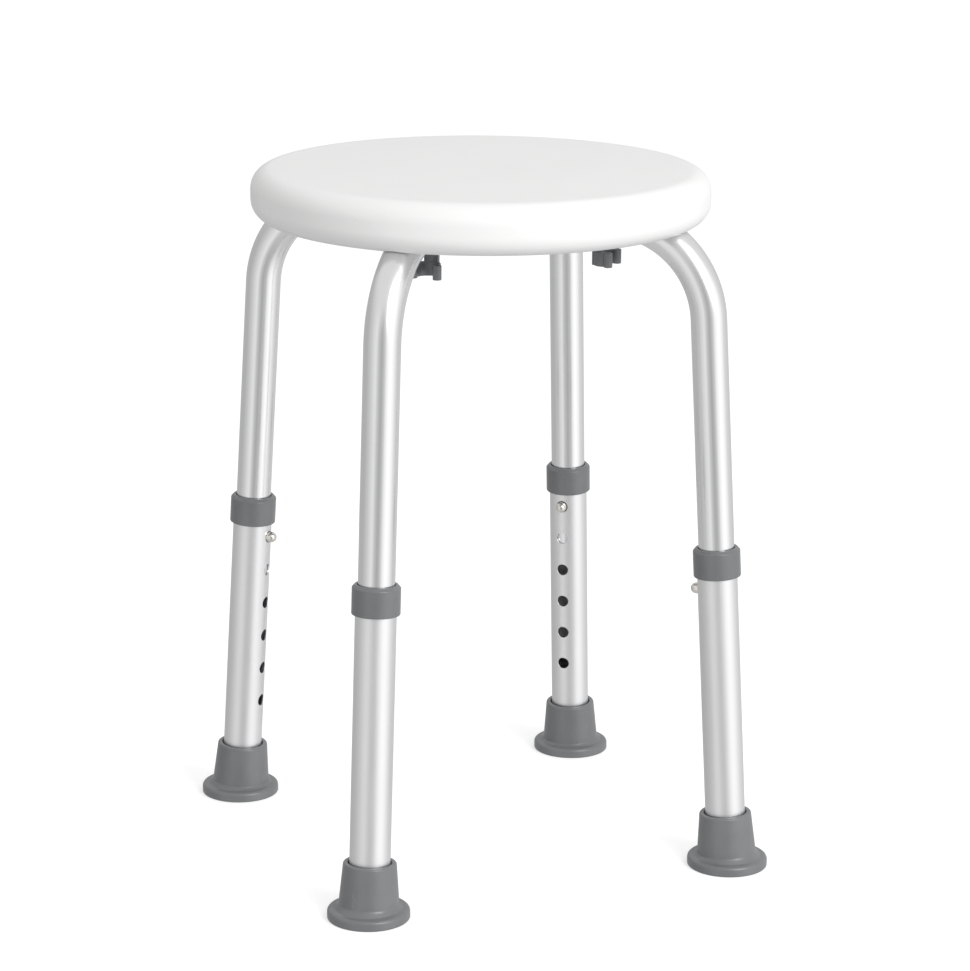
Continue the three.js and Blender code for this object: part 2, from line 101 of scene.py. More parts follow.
# ------------------------------------------------------------------------------ surfaces
class Skin:
    """A closed surface, gathered patch by patch and welded where the patches meet."""

    def __init__(self) -> None:
        """Starts with no patches."""
        self.points: list[Points] = []
        self.drawn: list[Points] = []
        self.faces: list[np.ndarray] = []
        self.count = 0

    def add(self, points: Points, faces: np.ndarray, drawn: Points | None = None) -> None:
        """Adds one patch.

        Args:
            points: (n, 3) places.
            faces: (m, 4) vertex numbers within the patch.
            drawn: (n, 3) the same places on the straight stock, which a pattern follows.
        """
        self.points.append(points)
        self.drawn.append(points if drawn is None else drawn)
        self.faces.append(faces + self.count)
        self.count += len(points)

    def grid(self, points: Points, drawn: Points | None = None, around: bool = False,
             keep: np.ndarray | None = None) -> None:
        """Adds a patch whose vertices are a grid of rows and columns.

        Args:
            points: (rows, columns, 3) places.
            drawn: places on the straight stock, in the same layout.
            around: whether the last column joins the first.
            keep: (rows - 1, cells) marks of the cells that have a face.
        """
        rows, columns = points.shape[:2]
        row = np.arange(rows - 1)[:, None]
        column = np.arange(columns if around else columns - 1)[None, :]
        after = (column + 1) % columns
        faces = np.stack([row * columns + column, row * columns + after,
                          (row + 1) * columns + after, (row + 1) * columns + column], -1)
        faces = faces.reshape(-1, 4) if keep is None else faces[keep]
        self.add(points.reshape(-1, 3), faces, None if drawn is None else drawn.reshape(-1, 3))

    def mapped(self, change) -> "Skin":
        """Moves every patch by a function of its points, and leaves the drawn places."""
        self.points = [change(points) for points in self.points]
        return self

    def moved(self, x: float = 0.0, z: float = 0.0) -> "Skin":
        """Moves every patch along X and Z, and leaves the drawn places."""
        return self.mapped(lambda points: points + np.array([x, 0, z]))

    @classmethod
    def revolved(cls, profile: Points, sides: int) -> "Skin":
        """The skin of a body of revolution about Z."""
        made = cls()
        made.grid(turned(profile, sides), around=True)
        return made

    def welded(self) -> tuple[Points, Points, np.ndarray, np.ndarray]:
        """Merges vertices that lie in one place.

        Returns:
            Points, drawn places, quads and triangles. A face whose corners have merged into
            fewer than three is dropped.
        """
        points, drawn = np.concatenate(self.points), np.concatenate(self.drawn)
        keys = np.round(points / WELD).astype(np.int64)
        _, first, same = np.unique(keys, axis=0, return_index=True, return_inverse=True)
        faces = same.reshape(-1)[np.concatenate(self.faces)]
        merged = faces == np.roll(faces, -1, axis=1)
        crossed = (faces[:, 0] == faces[:, 2]) | (faces[:, 1] == faces[:, 3])
        quads = faces[(merged.sum(1) == 0) & ~crossed]
        one = (merged.sum(1) == 1) & ~crossed
        corners = (merged[one].argmax(1)[:, None] + np.array([1, 2, 3])) % 4
        return points[first], drawn[first], quads, np.take_along_axis(faces[one], corners, 1)


def piece(node: str, skin: Skin, finish: "Finish", body: str) -> None:
    """Turns a skin into an object that stands for a CAD node and rides on its body.

    Args:
        node: The CAD node it replaces.
        skin: Its surface in millimetres.
        finish: What it is made of.
        body: The CAD body it moves with.
    """
    name = f"fine_{node}"
    points, drawn, quads, triangles = skin.welded()
    mesh = bpy.data.meshes.new(name)
    mesh.vertices.add(len(points))
    mesh.vertices.foreach_set("co", (points * MM).astype(np.float32).ravel())
    corners = np.concatenate([quads.ravel(), triangles.ravel()]).astype(np.int32)
    starts = np.concatenate([np.arange(len(quads)) * 4,
                             quads.size + np.arange(len(triangles)) * 3]).astype(np.int32)
    mesh.loops.add(len(corners))
    mesh.loops.foreach_set("vertex_index", corners)
    mesh.polygons.add(len(starts))
    mesh.polygons.foreach_set("loop_start", starts)
    mesh.update(calc_edges=True)
    stock = mesh.attributes.new("drawn", "FLOAT_VECTOR", "POINT")
    stock.data.foreach_set("vector", (drawn * MM).astype(np.float32).ravel())
    worked = bmesh.new()
    worked.from_mesh(mesh)
    bmesh.ops.recalc_face_normals(worked, faces=worked.faces)
    loose = sum(len(edge.link_faces) != 2 for edge in worked.edges)
    worked.to_mesh(mesh)
    worked.free()
    mesh.polygons.foreach_set("use_smooth", np.ones(len(starts), bool))
    mesh.set_sharp_from_angle(angle=SHARP)
    mesh.materials.append(finish.material())
    made = bpy.data.objects.new(name, mesh)
    bpy.context.scene.collection.objects.link(made)
    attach(made, body)
    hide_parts(node)
    LOG.info("%s: %d faces, %d open edges, rides on %s", name, len(starts), loose, body)


def placed(*parts: Points | float) -> Points:
    """Places from their coordinates, each an array or a number, in one common shape."""
    return np.stack(np.broadcast_arrays(*parts), -1)


def rounded(corners: list[tuple[float, float]], radii: list[float], steps: int = 6) -> Points:
    """A line through corners, each turned into an arc that touches both of its sides.

    The arc starts radius / tan(half the corner's angle) before the corner, its centre lies on
    the corner's bisector, and its points turn evenly about that centre.

    Args:
        corners: Points of the line.
        radii: A radius for every corner but the first and the last, 0 for a sharp one.
        steps: Parts of an arc.

    Returns:
        (n, 2) points.
    """
    line = np.asarray(corners, float)
    parts = [line[:1]]
    share = np.linspace(0, 1, steps + 1)[:, None]
    for before, corner, after, radius in zip(line, line[1:], line[2:], radii):
        if not radius:
            parts.append(corner[None])
            continue
        back = (before - corner) / np.linalg.norm(before - corner)
        ahead = (after - corner) / np.linalg.norm(after - corner)
        half = np.arccos(np.clip(back @ ahead, -1, 1)) / 2
        middle = (back + ahead) / np.linalg.norm(back + ahead) * radius / np.sin(half) + corner
        start = corner + back * radius / np.tan(half) - middle
        end = corner + ahead * radius / np.tan(half) - middle
        swing = pi - 2 * half
        parts.append(middle + (np.sin((1 - share) * swing) * start
                               + np.sin(share * swing) * end) / np.sin(swing))
    return np.concatenate(parts + [line[-1:]])


def turned(profile: Points, sides: int) -> Points:
    """Rings of a body of revolution.

    The point (r, h) of the profile becomes the ring (r cos a, r sin a, h), with a even.

    Args:
        profile: (n, 2) radius and height.
        sides: Points of a ring.

    Returns:
        (n, sides, 3) places.
    """
    angle = np.arange(sides) * 2 * pi / sides
    radius, height = profile[:, 0, None], profile[:, 1, None]
    return placed(radius * np.cos(angle), radius * np.sin(angle), height)


def eased(low: float, high: float, value: Points) -> Points:
    """0 below low, 1 above high, and 3t^2 - 2t^3 between them."""
    share = np.clip((value - low) / (high - low), 0, 1)
    return share * share * (3 - 2 * share)


def spin(points: Points, azimuth: float) -> Points:
    """Points turned about Z: (x cos a - y sin a, x sin a + y cos a, z)."""
    x, y, z = np.moveaxis(points, -1, 0)
    return placed(x * cos(azimuth) - y * sin(azimuth), x * sin(azimuth) + y * cos(azimuth), z)


def ringed_patch(border: Points, rim: Points, rings: int) -> Points:
    """Rings between a border and a hole's rim: each is a mean of the two, weighted evenly.

    Args:
        border: (n, k) the closed line outside.
        rim: (n, k) the closed line inside, point for point.
        rings: Steps from one to the other.

    Returns:
        (rings + 1, n, k) places, border first.
    """
    share = np.linspace(0, 1, rings + 1)[:, None, None]
    return border * (1 - share) + rim * share


def border_of(grid: Points, rows: tuple[int, int], columns: tuple[int, int]) -> Points:
    """The closed line of vertices round a block of a grid's cells, counterclockwise."""
    (low, high), (left, right) = rows, columns
    return np.concatenate([grid[low, left:right], grid[low:high, right],
                           grid[high, right:left:-1], grid[high:low:-1, left]])


# ------------------------------------------------------------------------------ finishes
class Nodes:
    """The node tree of a material or a world, with short ways to add nodes and join them."""

    def __init__(self, owner: bpy.types.Material | bpy.types.World) -> None:
        """Takes over the owner's tree."""
        owner.use_nodes = True
        self.tree = owner.node_tree

    def node(self, kind: str, inputs: dict | None = None, **settings):
        """Adds a node.

        Args:
            kind: Its type, without the prefix ShaderNode.
            inputs: Sockets by name or number, each joined to a socket or set to a value.
            **settings: Its own properties.

        Returns:
            The node.
        """
        made = self.tree.nodes.new("ShaderNode" + kind)
        for key, value in settings.items():
            setattr(made, key, value)
        for key, value in (inputs or {}).items():
            self.put(made.inputs[key], value)
        return made

    def put(self, socket, value) -> None:
        """Joins a socket to another, or sets its value."""
        if isinstance(value, bpy.types.NodeSocket):
            self.tree.links.new(value, socket)
        else:
            socket.default_value = value

    def shade(self, shader: str = "Principled BSDF", **inputs) -> None:
        """Sets the sockets of the shader, with _ for a space in a name."""
        for key, value in inputs.items():
            self.put(self.tree.nodes[shader].inputs[key.replace("_", " ")], value)

    def vector(self, stock: bool, scale: tuple[float, float, float] = (1, 1, 1)):
        """Object coordinates, or the places on the straight stock, scaled by a Mapping."""
        source = (self.node("Attribute", attribute_name="drawn").outputs["Vector"] if stock
                  else self.node("TexCoord").outputs["Object"])
        return self.node("Mapping", {"Vector": source, "Scale": scale}).outputs["Vector"]

    def noise(self, vector, scale: float, detail: float = 2, rough: float = 0.5):
        """Height of a noise pattern."""
        return self.node("TexNoise", {"Vector": vector, "Scale": scale, "Detail": detail,
                                      "Roughness": rough}).outputs["Fac"]

    def spread(self, value, low: float, high: float, start: float = 0.3, end: float = 0.7):
        """A value between start and end, spread to between low and high."""
        return self.node("MapRange", {"Value": value, "From Min": start, "From Max": end,
                                      "To Min": low, "To Max": high}).outputs["Result"]

    def blend(self, share, first, second):
        """A colour between two, by a share."""
        mix = self.node("Mix", data_type="RGBA")
        for number, value in ((0, share), (6, first), (7, second)):
            self.put(mix.inputs[number], value)
        return mix.outputs[2]

    def maths(self, operation: str, first, second=0.0):
        """A sum of two numbers by a Math node."""
        return self.node("Math", {0: first, 1: second}, operation=operation).outputs[0]

    def bump(self, height, distance: float, strength: float = 1.0, under=None):
        """Adds relief of a height in metres to the shader's normal, over earlier relief."""
        inputs = {"Height": height, "Distance": distance, "Strength": strength}
        if under is not None:
            inputs["Normal"] = under
        return self.node("Bump", inputs).outputs["Normal"]


def grey(level: float, tint: tuple[float, float, float] = (1, 1, 1)) -> tuple:
    """A colour from a level and a tint."""
    return (*(level * part for part in tint), 1.0)


@dataclass(frozen=True)
class Finish:
    """A finish, and the material slot it stands for. Its material is made once and shared."""

    name: str
    slot: Slot

    def material(self) -> bpy.types.Material:
        """The finish's material."""
        made = bpy.data.materials.get(self.name)
        if made is None:
            made = bpy.data.materials.new(self.name)
            self.paint(Nodes(made))
        return made

    def paint(self, nodes: Nodes) -> None:
        """Builds the material's nodes."""
        raise NotImplementedError

    def dress(self, *names: str) -> None:
        """Puts the finish on CAD nodes that stay as they are."""
        for name in names:
            for held in frame["nodes"][name].material_slots:
                held.material = self.material()
            LOG.info("%s: CAD node with finish %s", name, self.name)


@dataclass(frozen=True)
class MouldedWhite(Finish):
    """Blow-moulded white polyethylene: fine grain, slow waves and cloudy gloss."""

    name: str = "moulded_white"
    slot: Slot = Slot.SEAT
    level: float = 0.86
    tint: tuple[float, float, float] = (1.0, 0.998, 0.996)

    def paint(self, nodes: Nodes) -> None:
        """Cloudy white, with grain on soft waves."""
        place = nodes.vector(stock=False)
        clouds = nodes.noise(place, 16, 3)
        colour = nodes.blend(nodes.spread(clouds, 0, 1), grey(self.level * 0.985, self.tint),
                             grey(self.level, self.tint))
        specks = nodes.noise(place, 420, 2)
        colour = nodes.blend(nodes.spread(specks, 0, 0.5, 0.70, 0.78), colour,
                             grey(self.level * 0.9, self.tint))
        waves = nodes.bump(nodes.noise(place, 28, 1), 0.00016)
        grain = nodes.bump(nodes.noise(place, 1500, 3, 0.6), 0.000045, under=waves)
        rough = nodes.spread(nodes.noise(place, 60, 4), 0.40, 0.52)
        nodes.shade(Base_Color=colour, Roughness=rough, Normal=grain, IOR=1.5)


@dataclass(frozen=True)
class AnodisedAluminium(Finish):
    """Drawn aluminium tube, satin anodised: lines along the tube and a soft sheen."""

    name: str = "anodised_aluminium"
    slot: Slot = Slot.ALUMINIUM
    roughness: float = 0.30
    level: float = 0.86
    worn_track: bool = False

    def paint(self, nodes: Nodes) -> None:
        """Lines drawn out along the tube, and a scuffed track where a button slides."""
        place = nodes.vector(stock=True)
        lines = nodes.noise(nodes.vector(stock=True, scale=(1, 1, 0.012)), 1400, 4, 0.65)
        clouds = nodes.noise(place, 35, 3)
        colour = nodes.blend(nodes.spread(lines, 0, 1), grey(self.level * 0.985, (1, 1, 1.01)),
                             grey(self.level, (1, 1, 1.012)))
        colour = nodes.blend(nodes.spread(clouds, 0, 0.5), colour,
                             grey(self.level * 0.975, (1, 1, 1.008)))
        rough = nodes.maths("ADD", nodes.spread(lines, -0.03, 0.03),
                            nodes.spread(clouds, self.roughness - 0.015,
                                         self.roughness + 0.015))
        if self.worn_track:
            parts = nodes.node("SeparateXYZ", {0: place}).outputs
            aside = nodes.spread(nodes.maths("ABSOLUTE", parts[1]), 1, 0, 0.0012, 0.0026)
            inner = nodes.spread(parts[0], 1, 0, -0.008, -0.004)
            scuffs = nodes.noise(nodes.vector(stock=True, scale=(1, 1, 0.25)), 900, 3, 0.7)
            track = nodes.maths("MULTIPLY", nodes.maths("MULTIPLY", aside, inner),
                                nodes.spread(scuffs, 0, 0.6, 0.5, 0.66))
            colour = nodes.blend(track, colour, grey(0.95))
            rough = nodes.maths("ADD", rough, nodes.maths("MULTIPLY", track, 0.2))
        grain = nodes.bump(nodes.noise(place, 3800, 2), 0.0000016)
        relief = nodes.bump(lines, 0.0000025, under=grain)
        nodes.shade(Base_Color=colour, Roughness=rough, Metallic=1.0, Normal=relief)


@dataclass(frozen=True)
class MouldedGrey(Finish):
    """Injection-moulded grey plastic or rubber: matt grain, with lighter streaks of scuffs and
    dust.
    """

    name: str = "moulded_grey"
    slot: Slot = Slot.PLASTIC
    level: float = 0.19
    tint: tuple[float, float, float] = (0.97, 1.0, 1.04)
    roughness: float = 0.5
    grain: float = 900.0
    relief: float = 0.00004

    def paint(self, nodes: Nodes) -> None:
        """Slightly uneven grey, with grain and scuffs."""
        place = nodes.vector(stock=False)
        clouds = nodes.noise(place, 45, 4)
        colour = nodes.blend(nodes.spread(clouds, 0, 1), grey(self.level * 0.93, self.tint),
                             grey(self.level * 1.06, self.tint))
        scuffs = nodes.noise(nodes.vector(stock=False, scale=(1, 1, 0.3)), 240, 4, 0.7)
        colour = nodes.blend(nodes.spread(scuffs, 0, 0.35, 0.62, 0.75), colour,
                             grey(self.level * 1.5, self.tint))
        rough = nodes.spread(nodes.noise(place, 120, 3), self.roughness - 0.05,
                             self.roughness + 0.06)
        soft = nodes.bump(nodes.noise(place, 90, 2), 0.00008)
        grain = nodes.bump(nodes.noise(place, self.grain, 3, 0.6), self.relief, under=soft)
        nodes.shade(Base_Color=colour, Roughness=rough, Normal=grain, IOR=1.6)


@dataclass(frozen=True)
class BrightMetal(Finish):
    """Plated or plain bright metal: fine turning marks and small gloss changes."""

    name: str = "nickel_plate"
    slot: Slot = Slot.NICKEL
    colour: tuple[float, float, float] = (0.80, 0.775, 0.73)
    roughness: float = 0.13

    def paint(self, nodes: Nodes) -> None:
        """Even metal with faint marks."""
        place = nodes.vector(stock=False)
        marks = nodes.noise(place, 700, 4, 0.6)
        colour = nodes.blend(nodes.spread(marks, 0, 1), (*(0.9 * c for c in self.colour), 1),
                             (*self.colour, 1))
        rough = nodes.spread(marks, self.roughness * 0.7, self.roughness * 1.4)
        relief = nodes.bump(nodes.noise(place, 1500, 2), 0.000008)
        nodes.shade(Base_Color=colour, Roughness=rough, Metallic=1.0, Normal=relief)


SEAT_WHITE = MouldedWhite()
UPPER_ALUMINIUM = AnodisedAluminium("anodised_aluminium_upper", roughness=0.24)
LOWER_ALUMINIUM = AnodisedAluminium("anodised_aluminium_lower", roughness=0.42,
                                    worn_track=True)
GREY_PLASTIC = MouldedGrey("moulded_grey_plastic", level=0.165, roughness=0.27)
GREY_RUBBER = MouldedGrey("moulded_grey_rubber", Slot.RUBBER, level=0.175, roughness=0.33,
                          grain=700.0, relief=0.00006)
NICKEL = BrightMetal()
STEEL = BrightMetal("plain_steel", Slot.STEEL, (0.58, 0.585, 0.6), 0.28)


# ------------------------------------------------------------------------------ the leg's line
def node_box(node: str) -> Points:
    """The lowest and highest corner of a CAD node, in millimetres to a thousandth."""
    return np.round(np.array([list(corner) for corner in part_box(node)]) / MM, 3)


@dataclass(frozen=True)
class LegLine:
    """Centre line of a leg: a run under the seat, a bend, then the splayed straight."""

    foot_circle: float
    splay: float
    run_height: float
    bend_radius: float = 68.0
    run_start: float = 23.3

    @classmethod
    def measured(cls) -> "LegLine":
        """The line, from a foot's middle, a leg's sliding axis and the hub's middle."""
        foot, hub = node_box("foot_front_left").mean(0), node_box("hub").mean(0)
        slide = next(joint for joint in frame["joints"] if joint["name"].startswith("leg_slide"))
        x, y, z = slide["axis"]
        splay = round(degrees(atan2(hypot(x, y), z)), 2)
        return cls(round(hypot(foot[0], foot[1]), 2), radians(splay), float(hub[2]))

    @property
    def turn(self) -> float:
        """How far the bend turns."""
        return pi / 2 - self.splay

    @property
    def reach(self) -> float:
        """Distance from the corner of the two straights to the bend's ends."""
        return self.bend_radius * tan(self.turn / 2)

    @property
    def bend_start(self) -> float:
        """Radius at which the bend starts."""
        return self.foot_circle - self.run_height * tan(self.splay) - self.reach

    @property
    def bend_end(self) -> float:
        """Distance from the floor, along the leg, at which the bend ends."""
        return self.run_height / cos(self.splay) - self.reach

    @property
    def straight(self) -> float:
        """Distance from the run's start to the bend's end, along the line."""
        return self.bend_start - self.run_start + self.bend_radius * self.turn

    def station(self, s: float) -> float:
        """Distance from the run's start of the point at height s along the leg."""
        return self.straight + self.bend_end - s

    def onto_leg(self, points: Points) -> Points:
        """Puts points drawn about the leg's axis, with Z as s, into the leg's XZ plane.

        They turn about Y by the splay and move out to the foot circle.
        """
        x, y, s = np.moveaxis(points, -1, 0)
        return placed(self.foot_circle + x * cos(self.splay) - s * sin(self.splay), y,
                      x * sin(self.splay) + s * cos(self.splay))

    def carried(self, along: Points, angle: Points, radius: Points) -> tuple[Points, Points]:
        """Places on a round tube about the line.

        The centre moves along the run, then turns by (along - run) / bend radius, then goes on
        down the straight. The place is centre + radius * (cos angle * inward + sin angle * Y).

        Args:
            along: Distances from the run's start.
            angle: Angles from the side that faces the stool's middle.
            radius: Distances from the line.

        Returns:
            The places, and the same places on the straight stock.
        """
        run = self.bend_start - self.run_start
        bent = np.clip((along - run) / self.bend_radius, 0, self.turn)
        after = np.maximum(along - self.straight, 0)
        x = (self.run_start + np.minimum(along, run) + self.bend_radius * np.sin(bent)
             + after * np.cos(bent))
        z = (self.run_height - self.bend_radius * (1 - np.cos(bent)) - after * np.sin(bent))
        inward, aside = radius * np.cos(angle), radius * np.sin(angle)
        places = placed(x - inward * np.sin(bent), aside, z - inward * np.cos(bent))
        return places, placed(-inward, aside, along)


@dataclass(frozen=True)
class BoredTube:
    """A round tube with holes through the wall that faces the stool's middle."""

    line: LegLine
    radius: float
    wall: float
    start: float                      # distances along the line
    end: float
    holes: tuple[float, ...] = ()
    hole_radius: float = 4.3
    sides: int = 96
    block: int = 9                    # cells from a hole's middle to its patch's border, across
    reach: float = 7.4                # the same along the tube
    rows: int = 12                    # cells of a patch along the tube
    edge: float = 0.22                # broken edges of the ends and the holes
    pitch: float = 4.0                # between the wall's rings, about
    hole_rings: int = 5               # between a hole's rim and its patch's border

    @property
    def angles(self) -> np.ndarray:
        """Angles of the wall's lines, whose seam faces away from the stool's middle."""
        return np.arange(self.sides + 1) * 2 * pi / self.sides - pi

    def stations(self, start: float, end: float) -> tuple[np.ndarray, list[int]]:
        """Distances of the wall's rings, and the first ring of each hole's patch."""
        parts, firsts, last = [np.array([start])], [], start
        for hole in sorted(self.holes):
            gap = max(1, round((hole - self.reach - last) / self.pitch))
            parts.append(np.linspace(last, hole - self.reach, gap + 1)[1:])
            firsts.append(sum(map(len, parts)) - 1)
            parts.append(np.linspace(hole - self.reach, hole + self.reach, self.rows + 1)[1:])
            last = hole + self.reach
        parts.append(np.linspace(last, end, max(2, round((end - last) / self.pitch)) + 1)[1:])
        return np.concatenate(parts), firsts

    def face(self, skin: Skin, radius: float, inset: float, sink: float) -> list[Points]:
        """Adds the outer or inner wall, with a ring of cells round each hole.

        Args:
            skin: Where the patches go.
            radius: The wall's radius.
            inset: How far short of the tube's ends it stops.
            sink: How far the hole's rim is rounded back from the bore.

        Returns:
            For each hole, its rim as (angle, along) pairs.
        """
        along, firsts = self.stations(self.start + inset, self.end - inset)
        grid = placed(self.angles, along[:, None])
        keep = np.ones((len(along) - 1, self.sides), bool)
        middle, rims = self.sides // 2, []
        for first, hole in zip(firsts, sorted(self.holes)):
            columns = (middle - self.block, middle + self.block)
            keep[first:first + self.rows, columns[0]:columns[1]] = False
            border = border_of(grid, (first, first + self.rows), columns)
            way = np.arctan2(border[:, 1] - hole, border[:, 0] * self.radius)
            bore = self.hole_radius + sink
            rims.append(placed(np.arcsin(bore * np.cos(way) / radius),
                               hole + bore * np.sin(way)))
            self.put(skin, ringed_patch(border, rims[-1], self.hole_rings), radius, True)
        self.put(skin, grid, radius, False, keep)
        return rims

    def put(self, skin: Skin, grid: Points, radius: Points | float, around: bool,
            keep: np.ndarray | None = None) -> None:
        """Adds a grid of (angle, along) pairs at a radius."""
        places, drawn = self.line.carried(grid[..., 1], grid[..., 0], radius)
        skin.grid(places, drawn, around, keep)

    def skin(self) -> Skin:
        """The whole tube: two walls, the holes' bores and the two ends."""
        made = Skin()
        outer, inner = self.radius, self.radius - self.wall
        outside = self.face(made, outer, self.edge, self.edge)
        inside = self.face(made, inner, self.edge, 0.0)
        for hole, rim_out, rim_in in zip(sorted(self.holes), outside, inside):
            way = np.arctan2(rim_in[:, 1] - hole, np.sin(rim_in[:, 0]) * inner)
            bore = placed(np.arcsin(self.hole_radius * np.cos(way) / (outer - self.edge)),
                          hole + self.hole_radius * np.sin(way))
            radii = np.array([outer, outer - self.edge, inner])[:, None]
            self.put(made, np.stack([rim_out, bore, rim_in]), radii, True)
        radii = np.array([outer, outer - self.edge, inner + self.edge, inner])[:, None]
        for end, way in ((self.start, 1), (self.end, -1)):
            along = end + way * self.edge * np.array([1, 0, 0, 1])[:, None]
            self.put(made, placed(self.angles, along), radii, False)
        return made


# ------------------------------------------------------------------------------ one leg
@dataclass(frozen=True)
class Leg:
    """One telescopic leg: bent upper tube, lower tube, collar, button, foot, fastenings."""

    place: Place
    line: LegLine
    tube_radius: float = 12.5
    wall: float = 1.2
    slide_gap: float = 0.3
    fit_gap: float = 0.3
    lower_start: float = 9.6
    lower_length: float = 220.0
    top_hole: float = 28.0            # below the lower tube's upper end
    tail: float = 40.0                # upper tube's end below its button
    hole_pitch: float = 25.4
    hole_count: int = 6
    inner_screw: float = 49.914
    outer_screw_back: float = 21.0    # outer screw before the bend
    saddle_floor: float = 2.4         # a saddle's thickness under the run
    collar_wall: float = 2.2
    collar_height: float = 20.5
    collar_lip: tuple[float, float] = (0.4, 2.0)      # gap to the upper tube, and thickness
    collar_bevel: tuple[float, float] = (1.9, 2.1)
    button_radius: float = 3.9
    button_sunk: float = 2.8          # its base, from the upper tube's inside
    button_proud: float = 5.6         # its tip, from the lower tube's outside
    flange: tuple[tuple[float, float], ...] = ((28.25, 0), (28.25, 6.8), (23.3, 7.5),
                                               (20.7, 9.8))
    foot_wall: float = 3.9
    foot_height: float = 39.0
    foot_floor: float = 7.5
    foot_mouth: tuple[float, float] = (0.8, 6.0)      # how far it flares, and how deep
    tread: tuple[float, ...] = (8.0, 13.0, 18.0)      # inner radii of the sole's grooves
    tread_width: float = 2.7
    tread_slope: float = 0.5
    tread_depth: float = 1.3
    washer: tuple[float, float] = (2.7, 6.5)          # bore and outside radius

    @property
    def lower_radius(self) -> float:
        """Outside radius of the lower tube."""
        return self.tube_radius + self.slide_gap + self.wall

    @property
    def lower_end(self) -> float:
        """Upper end of the lower tube, along the leg."""
        return self.lower_start + self.lower_length

    @property
    def button_at(self) -> float:
        """Height of the button, along the leg."""
        return self.lower_end - self.top_hole

    @property
    def outer_screw(self) -> float:
        """Radius at which the outer screw stands."""
        return self.line.bend_start - self.outer_screw_back

    @property
    def saddle_under(self) -> float:
        """Height of the underside of a saddle below the run."""
        return self.line.run_height - self.tube_radius - self.fit_gap - self.saddle_floor

    def named(self, what: str) -> str:
        """A node's name on this leg."""
        return f"{what}_{self.place.label}"

    def make(self, what: str, skin: Skin, finish: Finish, body: str = "root") -> None:
        """Turns a skin to the leg's azimuth and puts it in place of the node of its name."""
        skin.mapped(lambda points: spin(points, self.place.azimuth))
        piece(self.named(what), skin, finish, body)

    def build(self) -> None:
        """Makes every piece of the leg."""
        lower_body = self.named("lower_leg")
        self.make("upper_tube", self.upper_tube(), UPPER_ALUMINIUM)
        self.make("lower_tube", self.lower_tube(), LOWER_ALUMINIUM, lower_body)
        self.make("collar", self.collar(), GREY_PLASTIC, lower_body)
        self.make("foot", self.foot(), GREY_RUBBER, lower_body)
        self.make("snap_button", self.button(), NICKEL, self.named("button"))
        for label, x in (("inner", self.inner_screw), ("outer", self.outer_screw)):
            screw = Screw(x, self.saddle_under - self.fit_gap)
            self.make(f"seat_screw_{label}", screw.skin(), STEEL)
        self.make("saddle_washer_inner", self.saddle_washer(self.inner_screw), GREY_PLASTIC)
        if self.place.in_front:
            self.make("hose_clip", HoseClip(self).skin(), GREY_PLASTIC)
        else:
            self.make("saddle_washer_outer", self.saddle_washer(self.outer_screw),
                      GREY_PLASTIC)
        STEEL.dress(self.named("button_spring"), self.named("foot_washer"))

    def upper_tube(self) -> Skin:
        """The bent tube, with the button's hole."""
        line = self.line
        return BoredTube(line, self.tube_radius, self.wall, 0.0,
                         line.station(self.button_at - self.tail),
                         (line.station(self.button_at),)).skin()

    def lower_tube(self) -> Skin:
        """The straight tube with its row of holes."""
        holes = tuple(self.line.station(self.button_at - i * self.hole_pitch)
                      for i in range(self.hole_count))
        return BoredTube(self.line, self.lower_radius, self.wall,
                         self.line.station(self.lower_end),
                         self.line.station(self.lower_start), holes).skin()

    def about_leg(self, profile: Points, sides: int = 96) -> Skin:
        """A body of revolution about the leg's axis."""
        return Skin.revolved(profile, sides).mapped(self.line.onto_leg)

    def collar(self) -> Skin:
        """Ring over the lower tube's upper end, bevelled on top, with a lip inside."""
        gap, thickness = self.collar_lip
        bore, lip = self.lower_radius + self.fit_gap, self.tube_radius + gap
        outer, shoulder = bore + self.collar_wall, self.lower_end + self.fit_gap
        top = shoulder + thickness
        bottom = top - self.collar_height
        across, down = self.collar_bevel
        seam = (bore, (top + bottom) / 2)
        corners = [seam, (bore, bottom), (outer, bottom), (outer, top - down),
                   (outer - across, top), (lip, top), (lip, shoulder), (bore, shoulder), seam]
        return self.about_leg(rounded(corners, [0.3, 0.8, 0.9, 0.45, 0.5, 0.1, 0.2]))

    def button(self) -> Skin:
        """Round-nosed pin that stands through both tubes, on a flat base."""
        radius = self.button_radius
        base = self.tube_radius - self.wall - self.button_sunk
        tip = self.lower_radius + self.button_proud
        nose = np.linspace(0, pi / 2, 17)
        profile = np.concatenate([
            rounded([(0, base), (radius, base), (radius, tip - radius)], [0.4]),
            placed(radius * np.cos(nose), tip - radius + radius * np.sin(nose))[1:]])
        profile[-1, 0] = 0.0
        made = Skin.revolved(profile, 48)
        made.mapped(lambda p: placed(-p[:, 2], p[:, 1], p[:, 0] + self.button_at))
        return made.mapped(self.line.onto_leg)

